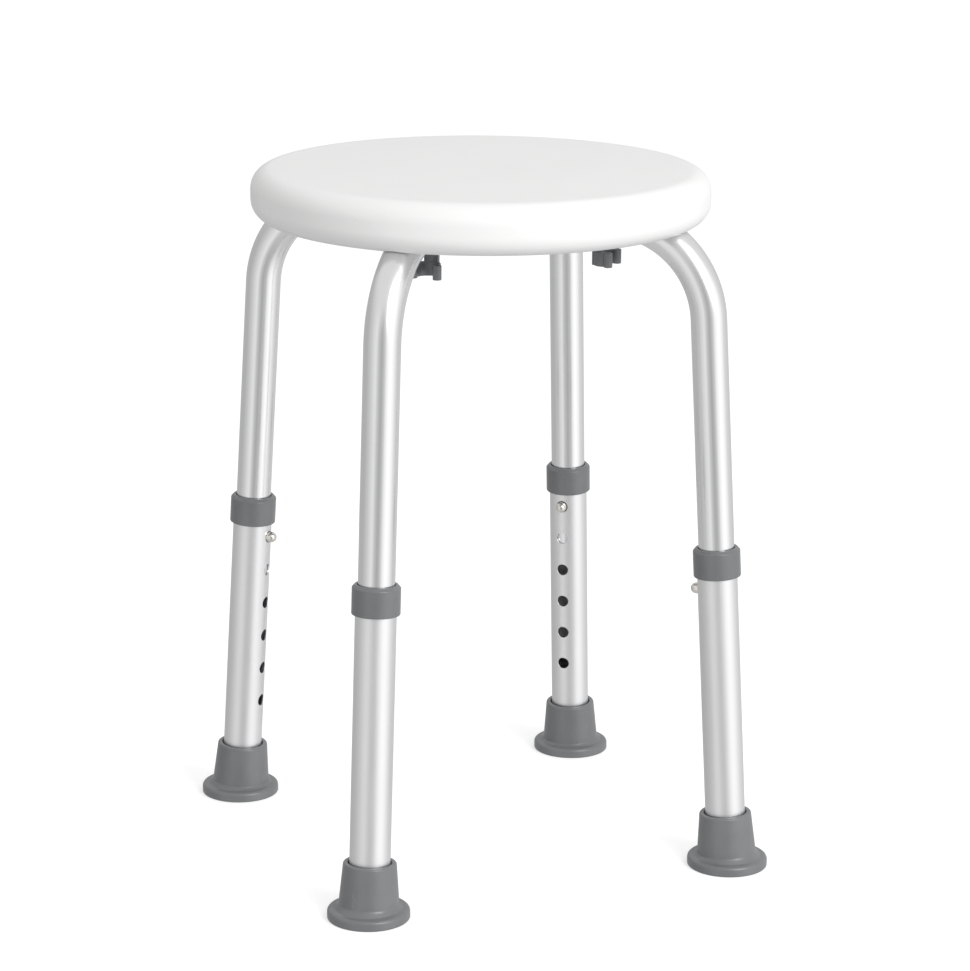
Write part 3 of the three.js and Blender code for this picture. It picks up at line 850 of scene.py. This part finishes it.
    def foot(self) -> Skin:
        """Rubber foot: a flat flange on the floor and a neck that leans with the leg.

        Each ring is a mean of a level ring about the foot's middle and one square to the leg,
        and the mean goes from the first to the second over the fillet between them.
        """
        bore, depth = self.lower_radius + self.fit_gap, self.tread_depth
        neck, height, floor = bore + self.foot_wall, self.foot_height, self.foot_floor
        flare, mouth = self.foot_mouth
        sole = [(0, 0)]
        for start in self.tread:
            end = start + self.tread_width
            sole += [(start, 0), (start + self.tread_slope, depth),
                     (end - self.tread_slope, depth), (end, 0)]
        corners = sole + [*self.flange, (neck, height), (bore + flare, height),
                          (bore, height - mouth), (bore, floor), (0, floor)]
        radii = [0.2] * (len(sole) - 1) + [1.0, 2.6, 1.6, 2.4, 1.5, 0.7, 2.0, 0.5]
        profile = rounded(corners, radii, 7)
        socket_rows, sides, flange_reach = 12, 112, 24.5
        rings = turned(profile, sides).reshape(-1, 3)
        lean = eased(7.0, 10.5, rings[:, 2])
        lean = lean * (np.hypot(rings[:, 0], rings[:, 1]) < flange_reach)
        in_socket = np.arange(len(rings)) // sides >= len(profile) - socket_rows
        lean = np.where(in_socket, 1.0, lean)[:, None]
        level = rings + np.array([self.line.foot_circle, 0, 0])
        places = level * (1 - lean) + self.line.onto_leg(rings) * lean
        made = Skin()
        made.grid(places.reshape(len(profile), sides, 3), around=True)
        return made

    def saddle_washer(self, x: float) -> Skin:
        """Round washer whose top follows the run: run height - sqrt(r^2 - y^2)."""
        hollow, (bore, outer) = self.tube_radius + self.fit_gap, self.washer
        profile = rounded([(bore, 1.0), (bore, 0), (outer, 0), (outer, 1.0)], [0.3, 0.7])
        rings = turned(profile, 48)
        rings[..., 2] += self.saddle_under
        top = turned(np.array([(outer, 0.0), (outer - 0.2, 0.0), (4.6, 0.0), (bore, 0.0)]), 48)
        top[..., 2] = self.line.run_height - np.sqrt(hollow ** 2 - top[..., 1] ** 2)
        top[0, :, 2] -= 0.2
        made = Skin()
        for patch in (rings, top, np.stack([rings[-1], top[0]]), np.stack([rings[0], top[-1]])):
            made.grid(patch, around=True)
        return made.moved(x)


@dataclass(frozen=True)
class Screw:
    """Pan-head screw with a cross recess, its head down, that reaches up into the seat."""

    x: float
    under: float                      # height of the head's flat side
    tip: float = 479.5
    head: float = 4.5
    head_height: float = 2.8
    shank: float = 2.4
    recess: float = 1.5
    dome: tuple[float, float] = (0.62, 0.72)          # shares of the head that stay flat
    blade: tuple[float, float] = (0.4, 0.75)          # half width, at the foot and the rim
    blade_reach: tuple[float, float] = (1.8, 2.3)     # half length, the same way

    def skin(self) -> Skin:
        """Head, shank and point.

        The head's face is a polar grid whose height falls by the recess where the smaller of
        |x| and |y| is under half a blade's width and the larger is under the blade's length.
        """
        flat, upright = self.dome
        end = self.tip - self.under + self.head_height
        face = rounded([(0, 0), (self.head * flat, 0), (self.head, self.head_height * upright),
                        (self.head, self.head_height)], [1.6, 1.2])
        face = np.concatenate([np.linspace((0, 0), face[1], 15)[:-1], face[1:]])
        rest = rounded([(self.head, self.head_height), (self.shank, self.head_height),
                        (self.shank, end - self.shank), (0, end)], [0, 0])[1:]
        rings = turned(np.concatenate([face, rest]), 64)
        across = np.abs(rings[..., :2])
        blade = ((1 - eased(*self.blade, across.min(-1)))
                 * (1 - eased(*self.blade_reach, across.max(-1))))
        low = rings[..., 2] < self.head_height * 0.4
        rings[..., 2] += np.where(low, blade * self.recess, 0.0)
        made = Skin()
        made.grid(rings, around=True)
        return made.moved(self.x, self.under - self.head_height)


def prism(outline: Points, low: float, high: float, edge: float = 0.3) -> Skin:
    """An upright solid over a closed outline, with broken edges.

    Args:
        outline: (n, 2) the outline, seen from above by every point of it from its middle.
        low: Height of its underside.
        high: Height of its top.
        edge: Width of the broken edges.

    Returns:
        The solid.
    """
    middle = outline.mean(0)
    reach = np.linalg.norm(outline - middle, axis=1, keepdims=True)
    inset = middle + (outline - middle) * (1 - edge / reach)
    centre = np.broadcast_to(middle, outline.shape)
    rings = np.stack([centre, inset, outline, outline, inset, centre])
    heights = np.array([low, low, low + edge, high - edge, high, high])
    made = Skin()
    made.grid(placed(rings[..., 0], rings[..., 1], heights[:, None]), around=True)
    return made


@dataclass(frozen=True)
class HoseClip:
    """Saddle under a front run, with a C-shaped spring jaw beyond it that opens outwards."""

    leg: Leg
    reach: float = 13.5               # jaw's middle beyond the outer screw
    jaw: float = 7.9                  # middle of the jaw's wall
    thickness: float = 1.8
    opening: float = radians(62)
    lip: float = 2.1                  # middle of the rolled lip's wall
    roll: float = radians(285)
    height: float = 10.0
    drop: float = 6.8                 # saddle's underside to the jaw's top
    stem_half: float = 5.0
    width: float = 22.0               # of the saddle, both ways
    edge: float = 1.6                 # rounding of the saddle's underside

    @property
    def jaw_x(self) -> float:
        """Radius of the jaw's middle."""
        return self.leg.outer_screw + self.reach

    @property
    def low(self) -> float:
        """Height of the jaw's underside."""
        return self.leg.saddle_under - self.drop - self.height

    def outline(self) -> tuple[Points, Points]:
        """The jaw's middle line seen from above, and its unit normals.

        An arc about the jaw's middle from one side of the mouth round the back to the other,
        which goes on at each end as an arc the other way about the lip's middle.
        """
        back = np.linspace(self.opening, 2 * pi - self.opening, 61)
        arc = self.jaw * placed(np.cos(back), np.sin(back))
        curl = np.linspace(0, self.roll, 33)[1:]
        middle = (self.jaw + self.lip) * np.array([cos(self.opening), sin(self.opening)])
        turn = self.opening + pi + curl
        lip = middle + self.lip * placed(np.cos(turn), np.sin(turn))
        line = np.concatenate([lip[::-1], arc, lip * np.array([1, -1])])
        slope = np.gradient(line, axis=0)
        slope /= np.linalg.norm(slope, axis=1, keepdims=True)
        return line, placed(slope[:, 1], -slope[:, 0])

    def skin(self) -> Skin:
        """Saddle, stem and jaw, which run into one another.

        The jaw's section, a rectangle with round corners, is carried along its outline, and
        the first and last sections shrink to a line to close it. The stem bites a little into
        the jaw and the saddle.
        """
        line, normal = self.outline()
        half, tall = self.thickness / 2, self.height / 2
        section = rounded([(0, -tall), (half, -tall), (half, tall), (-half, tall),
                           (-half, -tall), (0, -tall)], [0.4] * 4, 4)
        line, normal = (np.concatenate([part[:1], part[:1], part, part[-1:], part[-1:]])
                        for part in (line, normal))
        size = np.concatenate([[0, 0.7], np.ones(len(line) - 4), [0.7, 0]])[:, None]
        flat = line[:, None] + normal[:, None] * (section[None, :, :1] * size[..., None])
        rise = self.low + tall + section[None, :, 1] * np.where(size > 0.9, 1, 0.94)
        made = self.saddle()
        made.grid(np.concatenate([flat + np.array([self.jaw_x, 0]), rise[..., None]], -1))
        side = np.linspace(-self.stem_half, self.stem_half, 15)
        hollow = self.jaw - half + 0.2
        front = placed(self.jaw_x - np.sqrt(hollow ** 2 - side ** 2), side)
        back = placed(self.jaw_x - self.jaw - half + 0.3, -side)
        stem = prism(np.concatenate([front, back]), self.low + 0.1, self.leg.saddle_under + 1)
        made.add(stem.points[0], stem.faces[0])
        return made

    def saddle(self) -> Skin:
        """Block under the run: a level underside with round edges and a hollow top.

        Both are heights over one grid in x and y. The hollow is the run's height less
        sqrt(r^2 - y^2), and near an edge the underside rises by a quarter circle.
        """
        leg, edge, half = self.leg, self.edge, self.width / 2
        start = leg.outer_screw - half
        end = self.jaw_x - self.jaw + self.thickness / 2
        ease = edge * (1 - np.cos(np.linspace(0, pi / 2, 6)))[:-1]
        x = np.concatenate([start + ease, np.linspace(start + edge, end - edge, 12),
                            end - ease[::-1]])
        y = np.concatenate([ease - half, np.linspace(edge - half, half - edge, 25),
                            half - ease[::-1]])
        across, aside = np.meshgrid(x, y, indexing="ij")
        inset = np.minimum(np.minimum(across - start, end - across), half - np.abs(aside))
        inset = np.clip(inset, 0, edge)
        low = leg.saddle_under + edge - np.sqrt(edge ** 2 - (edge - inset) ** 2)
        hollow = leg.tube_radius + leg.fit_gap
        high = leg.line.run_height - np.sqrt(hollow ** 2 - aside ** 2)
        bottom, top = placed(across, aside, low), placed(across, aside, high)
        made = Skin()
        for patch in (bottom, top, *(np.stack([bottom[side], top[side]]) for side in
                                     (0, -1, np.s_[:, 0], np.s_[:, -1]))):
            made.grid(patch)
        return made


# ------------------------------------------------------------------------------ seat and hub
@dataclass(frozen=True)
class Seat:
    """Hollow moulded seat: a round-edged disc whose underside is grooved for the legs."""

    line: LegLine
    radius: float
    height: float
    thickness: float
    top_edge: float = 14.0
    bottom_edge: float = 14.0
    groove: float = 13.0
    pocket: float = 23.5
    pocket_top: float = 469.5
    slot_circle: float = 112.0
    slot_half: tuple[float, float] = (3.5, 18.0)
    slot_tip: tuple[float, float] = (2.3, 11.8)
    slot_spread: float = radians(18)
    slot_top: float = 481.5
    slot_rings: tuple[float, float] = (88.0, 136.0)   # the block of cells a slot sits in
    slot_from: int = 4                # its first column from the sector's border
    slot_cells: int = 7               # its columns
    blow_hole: float = 4.5
    blow_hole_at: float = 42.0
    blow_hole_depth: float = 20.0
    hole_rings: tuple[float, float] = (35.0, 49.0)    # the block the blow hole sits in
    hole_cells: int = 12
    ring_counts: tuple[int, ...] = (4, 6, 11, 24, 7)  # rows from the pocket to the rim
    outer_cells: int = 14             # columns between a groove and the next leg's sector
    groove_cells: int = 14
    sink_depth: float = 0.14

    @classmethod
    def measured(cls, line: LegLine) -> "Seat":
        """The seat over a leg's line, as wide and thick as the CAD node."""
        low, high = node_box("seat")
        return cls(line, float(high[0]), float(high[2]), float(high[2] - low[2]))

    @property
    def under(self) -> float:
        """Height of the flat underside."""
        return self.height - self.thickness

    def profile(self) -> Points:
        """Radius and height from the pocket's edge out, round the rim and in over the top."""
        stops = (self.pocket, *self.hole_rings, *self.slot_rings, self.radius - self.bottom_edge)
        flat = np.concatenate([[self.pocket]] + [
            np.linspace(start, end, count + 1)[1:]
            for start, end, count in zip(stops, stops[1:], self.ring_counts)])
        low = self.under + self.bottom_edge
        turn = np.linspace(0, pi / 2, 19)[1:]
        rim = placed(self.radius - self.bottom_edge * (1 - np.sin(turn)),
                     low - self.bottom_edge * np.cos(turn))
        high = self.height - self.top_edge
        turn = np.linspace(0, pi / 2, 17)
        edge = placed(self.radius - self.top_edge * (1 - np.cos(turn)),
                      high + self.top_edge * np.sin(turn))
        top = np.linspace(self.radius - self.top_edge, 0, 44)[1:]
        return np.concatenate([placed(flat, self.under), rim, edge, placed(top, self.height)])

    def groove_top(self, x: Points, y: Points) -> Points:
        """Height of a groove at a place in the leg's plane, or 0 where there is none.

        Over the run it is the line's height + sqrt(r^2 - y^2). Round the bend it is the
        circle about the bend's middle whose radius is the bend's plus sqrt(r^2 - y^2).
        """
        bulge = np.sqrt(np.maximum(self.groove ** 2 - y ** 2, 0))
        beyond = np.maximum(x - self.line.bend_start, 0)
        radius = self.line.bend_radius + bulge
        inside = np.maximum(radius ** 2 - beyond ** 2, 0)
        return self.line.run_height - self.line.bend_radius + np.sqrt(inside)

    def groove_edge(self, radius: Points) -> Points:
        """Half width of the groove's mouth at a radius, at least 2.5."""
        half = np.full_like(radius, self.groove)
        drop = self.under - self.line.run_height + self.line.bend_radius
        for _ in range(4):
            x = np.sqrt(np.maximum(radius ** 2 - half ** 2, 1))
            beyond = np.maximum(x - self.line.bend_start, 0)
            bulge = np.sqrt(drop ** 2 + beyond ** 2) - self.line.bend_radius
            half = np.where(bulge > 0, np.sqrt(np.maximum(self.groove ** 2 - bulge ** 2, 0)),
                            self.groove)
        return np.maximum(half, 2.5)

    def sector(self, profile: Points) -> Points:
        """The skin over a quarter turn, with a leg's groove in its middle.

        Columns follow the groove's edges: beside it they spread evenly in angle up to the
        sector's border, and inside it they spread by the sine across its width.
        """
        radius, height = profile[:, 0, None], profile[:, 1, None]
        below = np.arange(len(profile)) < np.argmax(profile[:, 0] >= self.radius - 5)
        half = np.where(below, self.groove_edge(profile[:, 0]), 0.0)
        last = np.nonzero(below)[0][-1]
        edge = np.arcsin(np.where(below, half / np.maximum(profile[:, 0], 1),
                                  half[last] / profile[last, 0]))[:, None]
        share = np.linspace(0, 1, self.outer_cells + 1)[None, :]
        right = edge + (pi / 4 - edge) * share
        inner = np.linspace(-pi / 2, pi / 2, self.groove_cells + 1)[None, :]
        middle = np.arcsin(np.sin(edge) * np.sin(inner))
        angle = np.concatenate([-right[:, ::-1], middle, right], 1)
        x, y = radius * np.cos(angle), radius * np.sin(angle)
        z = np.broadcast_to(height, x.shape).copy()
        inside = slice(self.outer_cells + 1, self.outer_cells + 2 + self.groove_cells)
        raised = np.maximum(z[:, inside], self.groove_top(x[:, inside], y[:, inside]))
        z[:, inside] = np.where(below[:, None], raised, z[:, inside])
        return placed(x, y, z)

    def sink_marks(self, points: Points) -> Points:
        """Depth of the shallow marks over the underside's slots: a sum of round bells."""
        depth = np.zeros(points.shape[:-1])
        for angle in self.slot_angles():
            turned_back = spin(points, -angle)
            along, aside = turned_back[..., 0] - self.slot_circle, turned_back[..., 1]
            depth += np.exp(-(along / 13) ** 2 - (aside / 6) ** 2)
        return self.sink_depth * depth

    def slot_angles(self) -> list[float]:
        """Azimuths of the narrow slots, two between each pair of legs."""
        return [quarter * pi / 2 + side * self.slot_spread
                for quarter in range(4) for side in (-1, 1)]

    def skin(self) -> Skin:
        """The seat's whole outside, with its pocket, slots and blow hole."""
        profile = self.profile()
        sector = self.sector(profile)
        grid = np.concatenate([spin(sector, place.azimuth)[:, :-1] for place in Place], 1)
        grid = np.concatenate([grid, grid[:, :1]], 1)
        on_top = profile[:, 1] >= self.height - 1e-6
        grid[on_top, :, 2] -= self.sink_marks(grid[on_top])
        keep = np.ones((grid.shape[0] - 1, grid.shape[1] - 1), bool)
        made = Skin()
        wide = sector.shape[1] - 1
        flat = profile[profile[:, 1] <= self.under, 0]
        slot_rows, hole_rows = (tuple(int(np.abs(flat - ring).argmin()) for ring in rings)
                                for rings in (self.slot_rings, self.hole_rings))
        for leg in range(len(Place)):
            for first in (leg * wide + self.slot_from,
                          (leg + 1) * wide - self.slot_from - self.slot_cells):
                self.well(made, grid, keep, (slot_rows, (first, first + self.slot_cells)),
                          self.slot_angles(), self.slot_circle, self.slot_half,
                          self.slot_rims())
        middle, half = 2 * wide, self.hole_cells // 2
        self.well(made, grid, keep, (hole_rows, (middle - half, middle + half)), [0.0],
                  self.blow_hole_at, (1.0, 1.0), self.hole_rims())
        made.grid(grid, keep=keep)
        edge, ceiling, centre = grid[0], grid[0].copy(), np.zeros_like(grid[0])
        ceiling[:, 2] = centre[:, 2] = self.pocket_top
        made.grid(np.stack([edge, ceiling, (ceiling + centre) / 2, centre]))
        return made

    def slot_rims(self) -> list[tuple[float, float, float]]:
        """Half width, half length and height of a slot's ovals, from its mouth up."""
        under, top = self.under, self.slot_top
        return [(4.0, 18.5, under), (3.65, 18.15, under + 0.15), (*self.slot_half, under + 0.6),
                (*self.slot_tip, top - 1.0), (1.5, 11.0, top), (0.0, 0.0, top)]

    def hole_rims(self) -> list[tuple[float, float, float]]:
        """The same for the blow hole, which is closed at the height of the seat's inside."""
        hole, under, top = self.blow_hole, self.under, self.under + self.blow_hole_depth
        return [(hole + 0.4, hole + 0.4, under), (hole, hole, under + 0.4), (hole, hole, top),
                (0.0, 0.0, top)]

    def well(self, made: Skin, grid: Points, keep: np.ndarray, block: tuple,
             angles: list[float], circle: float, mouth: tuple[float, float],
             rims: list[tuple[float, float, float]]) -> None:
        """Puts a blind hole in place of a block of the underside's cells.

        Args:
            made: Where its patches go.
            grid: The seat's grid.
            keep: Marks of the grid's cells that have a face.
            block: First and last line of the block's rows and of its columns.
            angles: Azimuths at which there may be a hole. The one nearest the block counts.
            circle: Distance of the hole from the seat's middle.
            mouth: Half width and half length that the lines across the patch fan out by.
            rims: Half width, half length and height of the hole's ovals, from its mouth up.
        """
        (low, high), (left, right) = block
        keep[low:high, left:right] = False
        border = border_of(grid, *block)
        x, y, _ = border.mean(0)
        angle = max(angles, key=lambda each: cos(each - atan2(y, x)))
        local = spin(border, -angle)
        way = np.arctan2(local[:, 1] / mouth[0], (local[:, 0] - circle) / mouth[1])
        ovals = [spin(placed(circle + reach * np.cos(way), half * np.sin(way), z), angle)
                 for half, reach, z in rims]
        made.grid(ringed_patch(border, ovals[0], 5), around=True)
        made.grid(np.stack(ovals), around=True)

    def build(self) -> None:
        """Makes the seat."""
        piece("seat", self.skin(), SEAT_WHITE, "root")


@dataclass(frozen=True)
class Hub:
    """Block under the seat's middle that the four runs plug onto, held by one screw."""

    line: LegLine
    half_height: float
    radius: float = 23.0
    bore: float = 2.7                 # of the screw's hole
    ring: tuple[float, float] = (7.5, 17.3)           # edges of the sunk ring
    ring_depth: float = 1.2
    ring_slope: float = 0.8           # width of the ring's sloping sides
    spigot: float = 11.0
    spigot_start: float = 15.0
    spigot_end: float = 41.0

    @classmethod
    def measured(cls, line: LegLine) -> "Hub":
        """The hub on a leg's line, as tall as the CAD node."""
        low, high = node_box("hub")
        return cls(line, float(high[2] - low[2]) / 2)

    def skin(self) -> Skin:
        """Block with round edges, a sunk ring under it, and four spigots."""
        height = self.line.run_height
        low, high = height - self.half_height, height + self.half_height
        seam, (inner, outer) = (self.bore, (low + high) / 2), self.ring
        slope, sunk = self.ring_slope, low + self.ring_depth
        block = rounded([seam, (self.bore, low), (inner, low), (inner + slope, sunk),
                         (outer - slope, sunk), (outer, low), (self.radius, low),
                         (self.radius, high), (self.bore, high), seam],
                        [0.3, 0.3, 0.3, 0.3, 0.3, 1.6, 1.0, 0.3])
        made = Skin.revolved(block, 96)
        rod = turned(rounded([(0, self.spigot_start), (self.spigot, self.spigot_start),
                              (self.spigot, self.spigot_end), (0, self.spigot_end)],
                             [0.5, 1.0]), 48)
        lying = placed(rod[..., 2], rod[..., 1], rod[..., 0] + height)
        for place in Place:
            made.grid(spin(lying, place.azimuth), around=True)
        return made

    def build(self) -> None:
        """Makes the hub and its screw."""
        piece("hub", self.skin(), GREY_PLASTIC, "root")
        screw = Screw(0.0, self.line.run_height - self.half_height - 0.3)
        piece("hub_screw", screw.skin(), STEEL, "root")


# ------------------------------------------------------------------------------ studio
@dataclass(frozen=True)
class Studio:
    """Pale floor, one soft lamp, light from all round, and the camera. Lengths in metres."""

    lens: float = 123.294
    sensor: float = 36.0
    place: tuple[float, float, float] = (-0.88196, -2.10919, 0.85182)
    azimuth: float = -112.69          # direction of the camera from the stool, in degrees
    pitch: float = 14.59
    yaw: float = 0.11
    roll: float = 0.42
    floor_half: float = 30.0
    floor_level: float = 0.72
    floor_glow: float = 0.46
    lamp_azimuth: float = 38.0        # to the right of the camera's direction
    lamp_place: tuple[float, float] = (2.8, 1.9)      # level distance and height
    lamp_size: float = 1.6
    lamp_power: float = 52.0
    lamp_aim: float = 0.28            # height it looks at
    strength: float = 1.3             # of the room's light
    above: float = 0.79               # brightness of the room overhead, and from below
    below: float = 0.64
    bands: tuple[tuple[float, float], ...] = (        # direction and brightness at the sides
        (-180, 0.60), (-134, 0.50), (-101, 0.50), (-75, 0.62), (-52, 0.78), (-34, 0.93),
        (-17, 0.60), (0, 0.42), (16, 0.58), (34, 1.02), (55, 1.25), (75, 1.10), (100, 0.78),
        (134, 0.68), (180, 0.60))

    def camera(self) -> None:
        """Sets the camera by its heading, pitch and roll."""
        heading = radians(180 + self.azimuth - self.yaw)
        pitch, roll = radians(self.pitch), radians(self.roll)
        ahead = np.array([cos(heading) * cos(pitch), sin(heading) * cos(pitch), -sin(pitch)])
        right = np.array([sin(heading), -cos(heading), 0])
        up = np.cross(right, ahead)
        turn = np.eye(4)
        turn[:3] = np.stack([cos(roll) * right + sin(roll) * up,
                             cos(roll) * up - sin(roll) * right, -ahead, self.place], -1)
        data = bpy.data.cameras.new("camera")
        data.sensor_width, data.lens, data.sensor_fit = self.sensor, self.lens, "HORIZONTAL"
        data.clip_start, data.clip_end = 0.05, 100
        made = bpy.data.objects.new("camera", data)
        made.matrix_world = Matrix(turn.tolist())
        bpy.context.scene.collection.objects.link(made)
        bpy.context.scene.camera = made

    def lamp(self) -> None:
        """Sets up a square area lamp that looks at the stool's middle."""
        data = bpy.data.lights.new("key", "AREA")
        data.shape, data.size, data.energy = "SQUARE", self.lamp_size, self.lamp_power
        made = bpy.data.objects.new("key", data)
        way, (distance, height) = radians(self.azimuth + self.lamp_azimuth), self.lamp_place
        made.location = (distance * cos(way), distance * sin(way), height)
        aim = Vector((0, 0, self.lamp_aim)) - made.location
        made.rotation_euler = aim.to_track_quat("-Z", "Y").to_euler()
        bpy.context.scene.collection.objects.link(made)

    def floor(self) -> None:
        """A wide pale floor that shows to the eye and takes shadows, and isn't reflected."""
        material = bpy.data.materials.new("floor")
        nodes = Nodes(material)
        level = nodes.spread(nodes.noise(nodes.vector(stock=False), 2), self.floor_level - 0.005,
                             self.floor_level)
        nodes.shade(Base_Color=nodes.blend(level, grey(0.0), grey(1.0)), Roughness=0.9,
                    Emission_Color=grey(1.0), Emission_Strength=self.floor_glow)
        mesh, half = bpy.data.meshes.new("floor"), self.floor_half
        mesh.from_pydata([(-half, -half, 0), (half, -half, 0), (half, half, 0),
                          (-half, half, 0)], [], [(0, 1, 2, 3)])
        mesh.materials.append(material)
        made = bpy.data.objects.new("floor", mesh)
        made.visible_glossy = made.visible_diffuse = False
        bpy.context.scene.collection.objects.link(made)

    def world(self) -> None:
        """Light from all round: even above and below, and in broad upright bands between."""
        world = bpy.data.worlds.new("studio")
        bpy.context.scene.world = world
        nodes = Nodes(world)
        way = nodes.node("TexCoord").outputs["Generated"]
        turn = nodes.node("Mapping", {"Vector": way, "Rotation": (0, 0, radians(-self.azimuth))})
        around = nodes.node("TexGradient", {"Vector": turn.outputs["Vector"]},
                            gradient_type="RADIAL")
        bands = nodes.node("ValToRGB", {"Fac": around.outputs["Fac"]})
        bands.color_ramp.interpolation = "EASE"
        ramp = bands.color_ramp.elements
        while len(ramp) < len(self.bands):
            ramp.new(0.5)
        for stop, (azimuth, level) in zip(ramp, self.bands):
            stop.position = azimuth / 360 + 0.5
            stop.color = grey(level / self.strength)
        height = nodes.node("SeparateXYZ", {0: way}).outputs["Z"]
        colour = bands.outputs["Color"]
        for start, end, level in ((0.1, 0.7, self.above), (-0.4, -0.85, self.below)):
            share = nodes.node("MapRange", {"Value": height, "From Min": start, "From Max": end},
                               interpolation_type="SMOOTHSTEP").outputs["Result"]
            colour = nodes.blend(share, colour, grey(level / self.strength))
        nodes.shade("Background", Color=colour, Strength=self.strength)

    def build(self) -> None:
        """Makes the studio."""
        self.floor()
        self.world()
        self.lamp()
        self.camera()
        view = bpy.context.scene.view_settings
        view.view_transform, view.look = "Standard", "None"


def corners(box) -> list[list[float]]:
    """A box's two corners as plain lists."""
    return [[float(value) for value in corner] for corner in box]


def main() -> None:
    """Builds the stool and its studio."""
    logging.basicConfig(level=logging.INFO, format="%(message)s")
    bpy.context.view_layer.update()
    line = LegLine.measured()
    Seat.measured(line).build()
    Hub.measured(line).build()
    for place in Place:
        Leg(place, line).build()
    Studio().build()


if __name__ == "__main__":
    main()
